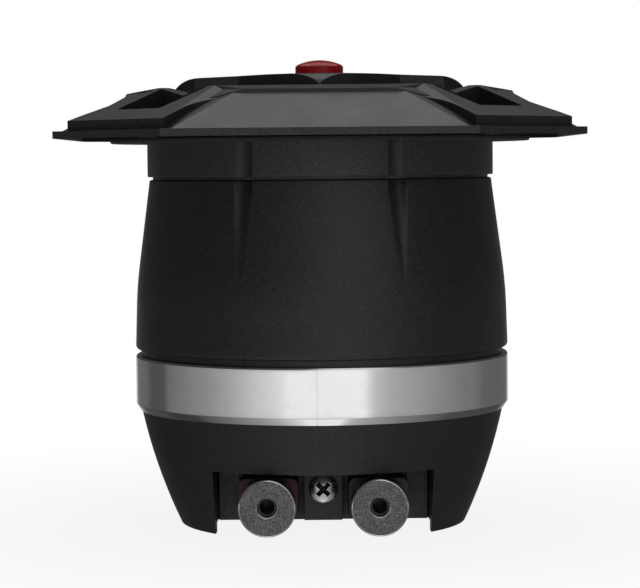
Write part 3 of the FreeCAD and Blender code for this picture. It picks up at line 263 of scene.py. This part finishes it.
MATERIALS = {
    "horn_black": eroded_plastic("horn_black", 0.014, 0.40, 0.40, 0.08),
    "cross_black": eroded_plastic("cross_black", 0.014, 0.45, 0.50, 0.10),
    "plug_black": smooth_plastic("plug_black", (0.02, 0.02, 0.021), 0.4),
    "barrel_black": eroded_plastic("barrel_black", 0.010, 0.36, 0.40, 0.10),
    "cover_black": eroded_plastic("cover_black", 0.009, 0.45, 0.35, 0.02),
    "board_black": smooth_plastic("board_black", (0.012, 0.012, 0.0125), 0.45),
    "gasket_foam": foam("gasket_foam", (0.010, 0.010, 0.010)),
    "chrome_trim": chrome("chrome_trim", 0.86, 0.10, 0.05),
    "badge_red": glossy_plastic("badge_red", (0.50, 0.0, 0.008), 0.28),
    "knob_chrome": chrome("knob_chrome", 0.80, 0.14, 0.10),
    # painted shade: the stud's nickel is darkened to near black, as it is only seen in the shade inside
    # each knob's hole
    "stud_nickel": plain_metal("stud_nickel", (0.05, 0.05, 0.048), 0.3),
    "collar_red": smooth_plastic("collar_red", (0.05, 0.002, 0.006), 0.42),
    "collar_black": smooth_plastic("collar_black", (0.010, 0.010, 0.011), 0.42),
    "brass_parts": plain_metal("brass_parts", (0.72, 0.55, 0.28), 0.35),
    "screw_steel": plain_metal("screw_steel", (0.72, 0.72, 0.74), 0.24),
    "lead_red": smooth_plastic("lead_red", (0.4, 0.02, 0.02), 0.5),
    "lead_black": smooth_plastic("lead_black", (0.02, 0.02, 0.02), 0.5),
    "motor_steel": plain_metal("motor_steel", (0.55, 0.56, 0.56), 0.4),
    "ferrite": soft_stuff("ferrite", (0.06, 0.06, 0.065), 0.5),
    "felt": soft_stuff("felt", (0.10, 0.10, 0.10), 0.3),
    "dome_metal": plain_metal("dome_metal", (0.70, 0.70, 0.72), 0.3),
    "former_film": smooth_plastic("former_film", (0.35, 0.2, 0.05), 0.35),
    "copper_coil": plain_metal("copper_coil", (0.75, 0.38, 0.2), 0.35),
    "frame_plastic": smooth_plastic("frame_plastic", (0.05, 0.05, 0.05), 0.5),
    "surround_cloth": soft_stuff("surround_cloth", (0.2, 0.17, 0.12), 0.25),
}
SLOT_OF_NODE = {row["node"]: row["material_slot"] for row in frame["record"]["subparts"]}

for cad_name, cad_object in frame["nodes"].items():
    cad_object.data.materials.clear()
    cad_object.data.materials.append(MATERIALS[SLOT_OF_NODE[cad_name]])


# ---- mesh helpers --------------------------------------------------------------------

SHARP = math.radians(32.0)


def finish_mesh(name, mesh, node, smooth=True):
    """Give a mesh its shading, material, body and slot. A bevelled mesh has its shading."""
    if smooth:
        mesh.shade_smooth()
        mesh.set_sharp_from_angle(angle=SHARP)
    piece = bpy.data.objects.new(name, mesh)
    bpy.context.scene.collection.objects.link(piece)
    slot = SLOT_OF_NODE[node]
    mesh.materials.clear()
    mesh.materials.append(MATERIALS[slot])
    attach(piece, BODY_OF_NODE[node])
    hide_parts(node)


WELD = 0.002      # points closer than this are one point
FLAT = math.radians(0.4)      # faces that meet at less than this are one face


def new_mesh(name, points, faces):
    """A mesh from points in millimetres, with doubled points welded."""
    mesh = bpy.data.meshes.new(name)
    mesh.from_pydata([Vector(point) * MM for point in points], [], faces)
    work = bmesh.new()
    work.from_mesh(mesh)
    bmesh.ops.remove_doubles(work, verts=work.verts, dist=WELD * MM)
    bmesh.ops.recalc_face_normals(work, faces=work.faces)
    work.to_mesh(mesh)
    work.free()
    return mesh


def rounded(corners, steps=5):
    """A closed outline through (x, y, fillet radius) corners, each fillet a short arc."""
    outline = []
    for index, (x, y, fillet) in enumerate(corners):
        here = Vector((x, y))
        if fillet <= 0:
            outline.append((x, y))
            continue
        before = (Vector(corners[index - 1][:2]) - here).normalized()
        after = (Vector(corners[(index + 1) % len(corners)][:2]) - here).normalized()
        half = before.angle(after) / 2
        reach = fillet / math.tan(half)
        middle = here + (before + after).normalized() * (fillet / math.sin(half))
        first = here + before * reach - middle
        last = here + after * reach - middle
        for step in range(steps + 1):
            share = step / steps
            arm = first.lerp(last, share).normalized() * fillet
            outline.append(tuple(middle + arm))
    return outline


def refined(outline, step):
    """The same outline with points added along its long runs."""
    points = []
    for index, (x, y) in enumerate(outline):
        after_x, after_y = outline[(index + 1) % len(outline)]
        count = max(1, math.ceil(math.hypot(after_x - x, after_y - y) / step))
        for part in range(count):
            share = part / count
            points.append((x + (after_x - x) * share, y + (after_y - y) * share))
    return points


def arc_between(start, end, radius, steps):
    """Points on the short arc from start to end, bulging to the right of that way."""
    a, b = Vector(start), Vector(end)
    way = b - a
    normal = Vector((way.y, -way.x)).normalized()
    middle = (a + b) / 2 - normal * math.sqrt(radius * radius - (way.length / 2) ** 2)
    from_a, from_b = (a - middle).normalized(), (b - middle).normalized()
    return [tuple(middle + from_a.slerp(from_b, step / steps) * radius) for step in range(steps + 1)]


def lathe(outline, angles, shape=None, centre=None):
    """Points and faces of a closed (radius, height) outline turned about an upright axis.

    shape(radius, height, angle) may change the radius. With a centre, the axis runs along
    -Y through (x, z) and the height is the distance in front of it.
    """
    points, faces = [], []
    for angle in angles:
        for radius, height in outline:
            radius = shape(radius, height, angle) if shape else radius
            across, along = radius * math.cos(angle), radius * math.sin(angle)
            if centre is None:
                points.append((across, along, height))
            else:
                points.append((centre[0] + across, -height, centre[1] + along))
    width, turns = len(outline), len(angles)
    for turn in range(turns):
        here, there = turn * width, ((turn + 1) % turns) * width
        for index in range(width):
            after = (index + 1) % width
            faces.append((here + index, there + index, there + after, here + after))
    return points, faces


def even(count):
    """Evenly spaced angles of a full turn."""
    return [2 * math.pi * index / count for index in range(count)]


def cad_copy(node):
    """A welded copy of a CAD node's mesh with its flat faces merged."""
    mesh = frame["nodes"][node].data.copy()
    work = bmesh.new()
    work.from_mesh(mesh)
    bmesh.ops.remove_doubles(work, verts=work.verts, dist=WELD * MM)
    bmesh.ops.dissolve_limit(work, angle_limit=FLAT, verts=work.verts, edges=work.edges)
    work.to_mesh(mesh)
    work.free()
    return mesh


def bevel_mesh(mesh, width, angle, segments=3):
    """Round a mesh's edges sharper than an angle and keep its large faces flat."""
    mesh.shade_smooth()
    carrier = bpy.data.objects.new("bevel_carrier", mesh)
    bpy.context.scene.collection.objects.link(carrier)
    bevel = carrier.modifiers.new("edges", "BEVEL")
    bevel.width = width * MM
    bevel.segments = segments
    bevel.limit_method = "ANGLE"
    bevel.angle_limit = math.radians(angle)
    bevel.miter_outer = "MITER_ARC"
    weighted = carrier.modifiers.new("flat", "WEIGHTED_NORMAL")
    weighted.weight = 90
    bpy.context.view_layer.update()
    shaped = carrier.evaluated_get(bpy.context.evaluated_depsgraph_get())
    result = bpy.data.meshes.new_from_object(shaped)
    bpy.data.objects.remove(carrier)
    return result


# ---- horn: flange, neck and flare ----------------------------------------------------

REAR, FRONT = math.radians(90), math.radians(270)
FLUTE_ANGLE = math.radians(25.0)
FLUTES = [side + sign * FLUTE_ANGLE for side in (REAR, FRONT) for sign in (-1, 1)]
FLUTE_RADIUS = 3.24      # of the round cutter
FLUTE_DEPTH = 1.8
FLUTE_LIP = 0.35      # rounding of a flute's lips
FULL_LIP_DEPTH = 0.5      # a shallower flute has a smaller rounding
FLUTE_END = 63.5      # level of a flute's pointed lower end
FLUTE_HALF = math.radians(5.4)      # span of fine steps to each side of a flute
NECK_RADIUS = 49.8
NECK_LOW, GROOVE_LOW = 99.6, 98.8      # the groove between neck and barrel


def turn_between(angle, other):
    """The signed turn from another angle to this one, at most half a turn."""
    return (angle - other + math.pi) % (2 * math.pi) - math.pi


def fluted_angles(coarse=120, fine=26):
    """Angles for a fluted lathe: coarse all round, fine across each flute."""
    found = set()
    for angle in even(coarse):
        if all(abs(turn_between(angle, flute)) > FLUTE_HALF for flute in FLUTES):
            found.add(angle)
    for flute in FLUTES:
        for step in range(fine + 1):
            found.add((flute - FLUTE_HALF + 2 * FLUTE_HALF * step / fine) % (2 * math.pi))
    return sorted(found)


def flute_cut(radius, angle, cutter_centre, lip=FLUTE_LIP):
    """The radius left by the nearest flute's round cutter, with softened lips."""
    cut = radius
    for flute in FLUTES:
        away = turn_between(angle, flute)
        sideways = cutter_centre * math.sin(away)
        if abs(away) > 3 * FLUTE_HALF or abs(sideways) > FLUTE_RADIUS + 1.0:
            continue
        if abs(sideways) < FLUTE_RADIUS:
            depth = math.sqrt(FLUTE_RADIUS ** 2 - sideways ** 2)
            floor = cutter_centre * math.cos(away) - depth
        else:
            floor = radius + (abs(sideways) - FLUTE_RADIUS) + FLUTE_RADIUS
        blend = max(lip - abs(radius - floor), 0.0) / max(lip, TINY)
        cut = min(radius, floor) - blend * blend * lip / 4
    return cut


def build_neck():
    """Neck collar with its flutes, the flare inside it, and the foot on the motor."""
    foot_low = FLANGE_LOW.z
    foot_radius, foot_top = 37.0, foot_low + 5.0
    throat, throat_top = 22.5, foot_low + 2.0
    mouth, mouth_level = 41.0, 122.0
    wall, roof = 3.0, 2.0
    arc = ((mouth - throat) ** 2 + (mouth_level - throat_top) ** 2) / (2 * (mouth - throat))
    collar_top = GASKET_HIGH.z + 0.4
    neck_inner, spigot, groove = 44.4, 46.5, 48.3
    spigot_low = GROOVE_LOW - 3.2

    def flare(low, high, inset, steps):
        """The flare's curve between two levels, on its inner or its outer side."""
        curve = []
        for step in range(steps + 1):
            run = low + (high - low) * step / steps - throat_top
            curve.append((throat + arc - math.sqrt((arc - inset) ** 2 - run * run), run + throat_top))
        return curve

    inner = flare(throat_top, collar_top, 0.0, 40)
    outer = flare(foot_top, collar_top - roof, wall, 24)
    collar = rounded([
        (neck_inner, collar_top - roof, 0), (neck_inner, spigot_low, 0.3), (spigot, spigot_low, 0.3),
        (spigot, GROOVE_LOW, 0), (groove, GROOVE_LOW, 0), (groove, NECK_LOW, 0),
        (NECK_RADIUS, NECK_LOW, 0.35), (NECK_RADIUS, collar_top, 0),
    ])
    foot = [(throat, foot_low), (foot_radius, foot_low), (foot_radius, foot_top)]
    outline = foot + outer + refined(collar, 1.2)[:-1] + [(NECK_RADIUS, collar_top)] + inner[::-1]

    def fluted(radius, height, angle):
        if height > NECK_LOW - 0.2 and radius > NECK_RADIUS - 1.0:
            return flute_cut(radius, angle, NECK_RADIUS - FLUTE_DEPTH + FLUTE_RADIUS)
        return radius

    points, faces = lathe(outline, fluted_angles(), fluted)
    finish_mesh("horn_neck", new_mesh("horn_neck", points, faces), "horn_flange")


def build_flange():
    """The flange plate: the CAD shape above the neck, with every edge rounded."""
    mesh = cad_copy("horn_flange")
    work = bmesh.new()
    work.from_mesh(mesh)
    everything = list(work.verts) + list(work.edges) + list(work.faces)
    level = Vector((0, 0, (GASKET_HIGH.z + 0.02) * MM))
    bmesh.ops.bisect_plane(work, geom=everything, plane_co=level, plane_no=(0, 0, 1), clear_inner=True)
    bmesh.ops.dissolve_limit(work, angle_limit=FLAT, verts=work.verts, edges=work.edges)
    work.to_mesh(mesh)
    work.free()
    finish_mesh("flange_plate", bevel_mesh(mesh, 0.4, 12.0), "horn_flange", smooth=False)


build_neck()
build_flange()


# ---- barrel --------------------------------------------------------------------------

def build_barrel():
    """The barrel with rounded edges and four flutes that narrow to a point."""
    spigot_inner, spigot, step = 48.6, 50.9, 52.2
    low, shelf, kink, top = 50.2, 51.2, 68.4, BARREL_HIGH.z
    low_radius, kink_radius, top_radius = RING_HIGH.x, 53.2, 49.2
    inner, top_inner = 50.6, 46.8
    corners = [
        (spigot_inner, BARREL_LOW.z, 0.3), (spigot, BARREL_LOW.z, 0.3), (spigot, RING_HIGH.z, 0),
        (step, RING_HIGH.z, 0), (step, low, 0), (low_radius, low, 1.3),
        (kink_radius, kink, 120.0), (top_radius, top, 0.6),
        (top_inner, top, 0.3), (inner, kink, 0), (inner, shelf, 0), (spigot_inner, shelf, 0),
    ]
    outline = refined(rounded(corners, 8), 1.3)
    widest = math.sqrt(FLUTE_RADIUS ** 2 - (FLUTE_RADIUS - FLUTE_DEPTH) ** 2)
    middle_top, middle_lean = 48.0, 0.04      # a line up the middle of the tapered wall

    def fluted(radius, height, angle):
        share = (height - FLUTE_END) / (top - FLUTE_END)
        if share <= 0 or radius < middle_top + (top - height) * middle_lean:
            return radius
        half_width = widest * min(share, 1.0)
        depth = FLUTE_RADIUS - math.sqrt(FLUTE_RADIUS ** 2 - half_width ** 2)
        lip = FLUTE_LIP * min(1.0, depth / FULL_LIP_DEPTH)
        return flute_cut(radius, angle, radius + FLUTE_RADIUS - depth, lip)

    points, faces = lathe(outline, fluted_angles(), fluted)
    finish_mesh("barrel", new_mesh("barrel", points, faces), "barrel_shell")


def build_trim_ring():
    """The plated ring: chamfered below, rounded above, with the fine seam where it closes."""
    inner, radius, low, high = 51.0, RING_HIGH.x, RING_LOW.z, RING_HIGH.z
    chamfer_out, chamfer_up = 1.3, 2.0
    corners = [(inner, low, 0.2), (radius - chamfer_out, low, 0.25), (radius, low + chamfer_up, 0.5),
               (radius, high, 0.7), (inner, high, 0.2)]
    seam, seam_depth = math.radians(-91.5), 0.12
    half_width = math.radians(0.16)
    seam_angles = [(seam + step * half_width) % (2 * math.pi) for step in (-2, -1, -0.5, 0.5, 1, 2)]

    def seamed(r, height, angle):
        in_seam = abs(turn_between(angle, seam)) < half_width * 0.75
        return r - seam_depth if in_seam and r > inner + 0.5 else r

    angles = sorted(even(240) + seam_angles)
    points, faces = lathe(refined(rounded(corners, 7), 2.0), angles, seamed)
    finish_mesh("trim_ring_plated", new_mesh("trim_ring_plated", points, faces), "trim_ring")


def build_gasket():
    """The foam ring under the flange, with soft edges."""
    bore, radius, low, high = 50.2, GASKET_HIGH.x, GASKET_LOW.z, GASKET_HIGH.z
    corners = [(bore, low, 0.2), (radius, low, 0.5), (radius, high, 0.3), (bore, high, 0)]
    points, faces = lathe(rounded(corners, 4), even(200))
    finish_mesh("flange_gasket", new_mesh("flange_gasket", points, faces), "seat_gasket")


build_barrel()
build_trim_ring()
build_gasket()


# ---- rear cover ----------------------------------------------------------------------

def build_rounded(name, node, width, angle):
    """A CAD node's own shape with the edges sharper than an angle rounded."""
    finish_mesh(name, bevel_mesh(cad_copy(node), width, angle), node, smooth=False)


build_rounded("cover_shell", "rear_cover", 0.4, 35.0)


# ---- cross and badge -----------------------------------------------------------------

def build_badge():
    """A glossy domed badge with a narrow lip."""
    low, high, radius = BADGE_LOW.z, BADGE_HIGH.z, BADGE_HIGH.x
    lip, lip_drop, crown_drop, crown_radius = 0.55, 1.9, 1.35, 15.4
    crown = arc_between((radius - lip, high - crown_drop), (0.0, high), crown_radius, 14)
    outline = [(0.0, low), (radius, low), (radius, high - lip_drop)] + crown
    points, faces = lathe(outline, even(96))
    finish_mesh("badge_dome", new_mesh("badge_dome", points, faces), "badge")


build_rounded("mouth_cross", "front_cross", 0.4, 20.0)
build_badge()


# ---- terminals -----------------------------------------------------------------------

def build_knob(name):
    """A plated thumb nut: knurled drum, bright rims and a turned face."""
    node = "knob_" + name
    low, high = extent(node)
    centre = ((low.x + high.x) / 2, (low.z + high.z) / 2)
    radius = (high.x - low.x) / 2
    back, front = -high.y, -low.y
    running, mouth, mouth_chamfer = 2.95, 2.5, 0.35
    drum = radius - 0.2
    groove = radius - 0.75
    knurls, knurl_depth = 48, 0.28
    corners = [
        (running, back, 0), (drum, back, 0.5), (drum, front - 3.2, 0.15),
        (groove, front - 2.9, 0.12), (groove, front - 2.4, 0.12),
        (radius, front - 2.1, 0.15), (radius, front, 0.55), (radius - 1.0, front, 0),
        (mouth + mouth_chamfer, front, 0.1), (mouth, front - 0.4, 0.1), (mouth, front - 2.9, 0),
        (running, front - 2.9, 0),
    ]
    outline = refined(rounded(corners, 5), 1.6)

    def knurled(r, height, angle):
        if r > radius - 0.35 and back + 0.7 < height < front - 3.5:
            return r - knurl_depth * (0.5 - 0.5 * math.cos(angle * knurls)) ** 2
        return r

    points, faces = lathe(outline, even(6 * knurls), knurled, centre)
    mesh = new_mesh(node + "_plated", points, faces)
    finish_mesh(node + "_plated", mesh, node)
    # painted reflection: the face's plating is darkened to a 0.12 metal, a painted dark reflection beside
    # the 0.80 knob chrome, with painted glints
    mesh.materials.append(turned_metal("knob_face_painted_reflection_" + name, 0.12, 0.34,
                                       (centre[0] * MM, 0.0, centre[1] * MM)))
    for polygon in mesh.polygons:
        height = -polygon.center.y / MM
        if height > front - 0.03 and polygon.normal.y < -0.9:
            polygon.material_index = 1


BOX_FACES = ((0, 1, 2, 3), (7, 6, 5, 4), (0, 4, 5, 1), (1, 5, 6, 2), (2, 6, 7, 3), (3, 7, 4, 0))


def slot_cutter(turn, centre_x, centre_z, front):
    """A tapered bar, turned about the screw's axis, that cuts one slot of the cross recess."""
    wide, narrow, deep, above = 2.7, 1.6, 2.2, 0.4
    thick, thin = 0.72, 0.45
    turned = Matrix.Rotation(math.radians(turn), 3, "Y")
    ends = []
    for reach, half, level in ((wide, thick, front + above), (narrow, thin, front - deep)):
        for sx, sz in ((-1, -1), (1, -1), (1, 1), (-1, 1)):
            flat = turned @ Vector((sx * reach, 0, sz * half))
            ends.append((centre_x + flat.x, -level, centre_z + flat.z))
    cutter = bpy.data.objects.new("slot", new_mesh("slot", ends, BOX_FACES))
    bpy.context.scene.collection.objects.link(cutter)
    return cutter


def build_screw():
    """The pan head with a cross recess that narrows towards its bottom, painted dark inside as shade."""
    centre_x = (SCREW_LOW.x + SCREW_HIGH.x) / 2
    centre_z = (SCREW_LOW.z + SCREW_HIGH.z) / 2
    head = (SCREW_HIGH.x - SCREW_LOW.x) / 2
    front, end = -SCREW_LOW.y, -SCREW_HIGH.y
    seat = front - 2.6
    shank, recess, recess_floor = 2.0, 2.9, front - 1.7
    dome = arc_between((head - 0.35, front - 1.1), (0.0, front), 7.2, 10)
    outline = [(0.0, end), (shank, end), (shank, seat), (head - 0.1, seat),
               (head, seat + 0.3), (head, front - 1.5)] + dome
    points, faces = lathe(outline, even(96), None, (centre_x, centre_z))
    body = bpy.data.objects.new("screw_body", new_mesh("screw_body", points, faces))
    bpy.context.scene.collection.objects.link(body)
    cutters = []
    for turn in (45, 135):
        cutter = slot_cutter(turn, centre_x, centre_z, front)
        cut = body.modifiers.new("slot", "BOOLEAN")
        cut.operation = "DIFFERENCE"
        cut.solver = "EXACT"
        cut.object = cutter
        cutters.append(cutter)
    bpy.context.view_layer.update()
    shaped = body.evaluated_get(bpy.context.evaluated_depsgraph_get())
    mesh = bpy.data.meshes.new_from_object(shaped)
    for spare in [body] + cutters:
        bpy.data.objects.remove(spare)
    mesh = bevel_mesh(mesh, 0.08, 35.0, 2)
    finish_mesh("board_screw", mesh, "terminal_screw", smooth=False)
    # painted shade: the recess's walls and floor get a near-black steel that stands in for the shade inside
    # the cross recess
    mesh.materials.append(plain_metal("slot_painted_shade", (0.03, 0.03, 0.032), 0.5))
    for polygon in mesh.polygons:
        x, y, z = polygon.center / MM
        in_head = math.hypot(x - centre_x, z - centre_z) < recess and seat < -y < front
        if in_head and (polygon.normal.y > -0.75 or -y < recess_floor):
            polygon.material_index = 1


for post in POSTS:
    build_knob(post)
    build_rounded("collar_" + post, "post_collar_" + post, 0.35, 35.0)
build_rounded("post_board", "terminal_board", 0.3, 35.0)
build_screw()

for cad_name, cad_object in frame["nodes"].items():
    if not cad_object.hide_render:
        cad_object.data.shade_smooth()
        cad_object.data.set_sharp_from_angle(angle=SHARP)


# ---- floor, light and camera ---------------------------------------------------------

def studio_floor():
    """A pale disc that turns to plain white far from the object. It hides nothing from below."""
    reach, level = 3500.0, -0.02
    points = [(reach * math.cos(angle), reach * math.sin(angle), level) for angle in even(96)]
    mesh = bpy.data.meshes.new("floor")
    mesh.from_pydata([Vector(point) * MM for point in points], [], [tuple(range(96))])
    floor = bpy.data.objects.new("floor", mesh)
    bpy.context.scene.collection.objects.link(floor)
    material = bpy.data.materials.new("pale_floor")
    material.use_nodes = True
    tree = material.node_tree
    shader = tree.nodes["Principled BSDF"]
    shader.inputs["Base Color"].default_value = (0.86, 0.86, 0.86, 1.0)
    shader.inputs["Roughness"].default_value = 0.9
    glow = tree.nodes.new("ShaderNodeEmission")
    glow.inputs["Color"].default_value = (1, 1, 1, 1)
    glow.inputs["Strength"].default_value = 1.0
    place = tree.nodes.new("ShaderNodeTexCoord")
    length = tree.nodes.new("ShaderNodeVectorMath")
    length.operation = "LENGTH"
    fade = tree.nodes.new("ShaderNodeMapRange")
    fade.interpolation_type = "SMOOTHSTEP"
    fade.inputs["From Min"].default_value = 0.03
    fade.inputs["From Max"].default_value = 0.22
    fade.inputs["To Min"].default_value = 0.88
    mix = tree.nodes.new("ShaderNodeMixShader")
    geometry = tree.nodes.new("ShaderNodeNewGeometry")
    clear = tree.nodes.new("ShaderNodeBsdfTransparent")
    one_sided = tree.nodes.new("ShaderNodeMixShader")
    links = tree.links
    links.new(place.outputs["Object"], length.inputs[0])
    links.new(length.outputs["Value"], fade.inputs["Value"])
    links.new(fade.outputs["Result"], mix.inputs["Fac"])
    links.new(shader.outputs["BSDF"], mix.inputs[1])
    links.new(glow.outputs["Emission"], mix.inputs[2])
    links.new(geometry.outputs["Backfacing"], one_sided.inputs["Fac"])
    links.new(mix.outputs["Shader"], one_sided.inputs[1])
    links.new(clear.outputs["BSDF"], one_sided.inputs[2])
    links.new(one_sided.outputs["Shader"], tree.nodes["Material Output"].inputs["Surface"])
    mesh.materials.append(material)
    floor.visible_glossy = False


# Brightness of the studio by heading, in degrees from the front: left is negative.
# SWEEP is the bright floor seen in reflections, HAZE the dim room above the horizon.
SWEEP = (
    (-180, 0.80), (-168, 0.60), (-158, 0.15), (-137, 0.135), (-132, 0.10), (-129, 0.082), (-113, 0.088),
    (-108, 0.168), (-96, 0.205), (-80, 0.27), (-67, 0.345), (-54, 0.445), (-46, 0.545), (-31, 0.745),
    (-24, 0.86), (-20, 0.985), (25, 0.985), (29, 0.70), (33, 0.55), (41, 0.455), (53, 0.387), (65, 0.33),
    (79, 0.264), (94, 0.21), (105, 0.186), (117, 0.13), (136, 0.123), (158, 0.13), (168, 0.60), (180, 0.80),
)
HAZE = ((-180, 0.05), (-60, 0.04), (-12, 0.12), (4, 0.65), (34, 0.65), (52, 0.12), (90, 0.04), (180, 0.05))
# Brightness of the floor below the object, as a share of the sweep's, by the sine of the elevation.
FLOOR = ((-1.0, 0.95), (-0.9, 0.92), (-0.72, 0.55), (-0.4, 0.5), (-0.14, 0.6))


def studio_world():
    """White to the camera. To the object it is a studio: a bright sweep under a dim room."""
    world = bpy.data.worlds.new("studio")
    bpy.context.scene.world = world
    world.use_nodes = True
    tree = world.node_tree
    tree.nodes.clear()

    def node(kind, **settings):
        made = tree.nodes.new(kind)
        for key, value in settings.items():
            setattr(made, key, value)
        return made

    def span(value, from_low, from_high, smooth=False):
        mapping = node("ShaderNodeMapRange")
        mapping.interpolation_type = "SMOOTHSTEP" if smooth else "LINEAR"
        mapping.inputs["From Min"].default_value = from_low
        mapping.inputs["From Max"].default_value = from_high
        tree.links.new(value, mapping.inputs["Value"])
        return mapping.outputs["Result"]

    def ramp(value, stops, low, high):
        made = node("ShaderNodeValToRGB")
        elements = made.color_ramp.elements
        while len(elements) < len(stops):
            elements.new(0.5)
        for element, (place, level) in zip(elements, stops):
            element.position = (place - low) / (high - low)
            element.color = (level, level, level, 1.0)
        tree.links.new(value, made.inputs["Fac"])
        return made.outputs["Color"]

    def mixed(factor, first, second):
        made = node("ShaderNodeMix", data_type="RGBA")
        tree.links.new(factor, made.inputs["Factor"])
        tree.links.new(first, made.inputs["A"])
        tree.links.new(second, made.inputs["B"])
        return made.outputs["Result"]

    place = node("ShaderNodeTexCoord")
    split = node("ShaderNodeSeparateXYZ")
    tree.links.new(place.outputs["Generated"], split.inputs[0])
    back = node("ShaderNodeMath", operation="MULTIPLY")
    back.inputs[1].default_value = -1.0
    tree.links.new(split.outputs["Y"], back.inputs[0])
    heading = node("ShaderNodeMath", operation="ARCTAN2")
    tree.links.new(split.outputs["X"], heading.inputs[0])
    tree.links.new(back.outputs["Value"], heading.inputs[1])
    turn = span(heading.outputs["Value"], -math.pi, math.pi)
    rise = split.outputs["Z"]
    sweep = ramp(turn, SWEEP, -180, 180)
    haze = ramp(turn, HAZE, -180, 180)
    share = ramp(span(rise, -1.0, 0.0), FLOOR, -1.0, 0.0)
    product = node("ShaderNodeMix", data_type="RGBA", blend_type="MULTIPLY")
    product.inputs["Factor"].default_value = 1.0
    tree.links.new(share, product.inputs["A"])
    tree.links.new(sweep, product.inputs["B"])
    floor = product.outputs["Result"]
    lower = mixed(span(rise, -0.20, -0.12, True), floor, sweep)
    level = mixed(span(rise, -0.03, 0.04, True), lower, haze)
    studio = node("ShaderNodeBackground")
    tree.links.new(level, studio.inputs["Color"])
    white = node("ShaderNodeBackground")
    white.inputs["Color"].default_value = (1, 1, 1, 1)
    rays = node("ShaderNodeLightPath")
    mix = node("ShaderNodeMixShader")
    output = node("ShaderNodeOutputWorld")
    tree.links.new(rays.outputs["Is Camera Ray"], mix.inputs["Fac"])
    tree.links.new(studio.outputs["Background"], mix.inputs[1])
    tree.links.new(white.outputs["Background"], mix.inputs[2])
    tree.links.new(mix.outputs["Shader"], output.inputs["Surface"])


def panel_light(name, place, target, size, power):
    """A soft rectangular light at a place, aimed at a target, all in millimetres."""
    data = bpy.data.lights.new(name, "AREA")
    data.shape = "RECTANGLE"
    data.size, data.size_y = size[0] * MM, size[1] * MM
    data.energy = power
    light = bpy.data.objects.new(name, data)
    light.location = Vector(place) * MM
    aim = (Vector(target) - Vector(place)).to_track_quat("-Z", "Y")
    light.rotation_mode = "QUATERNION"
    light.rotation_quaternion = aim
    bpy.context.scene.collection.objects.link(light)


def build_camera():
    """Long lens, a little above the neck, tilted down a few degrees."""
    data = bpy.data.cameras.new("main_view")
    data.sensor_width = 36.0
    data.lens = 128.5
    data.clip_start, data.clip_end = 0.01, 50.0
    camera = bpy.data.objects.new("main_view", data)
    camera.location = Vector((-0.39, -661.5, 102.33)) * MM
    tilt = Matrix.Rotation(math.radians(90 - 3.204), 4, "X")
    roll = Matrix.Rotation(math.radians(-0.549), 4, "Z")
    camera.rotation_mode = "QUATERNION"
    camera.rotation_quaternion = (tilt @ roll).to_quaternion()
    bpy.context.scene.collection.objects.link(camera)
    bpy.context.scene.camera = camera


studio_floor()
studio_world()
panel_light("top_panel", (0, 350, 900), (0, 0, 100), (900, 700), 3.2)
build_camera()
bpy.context.scene.view_settings.view_transform = "Standard"
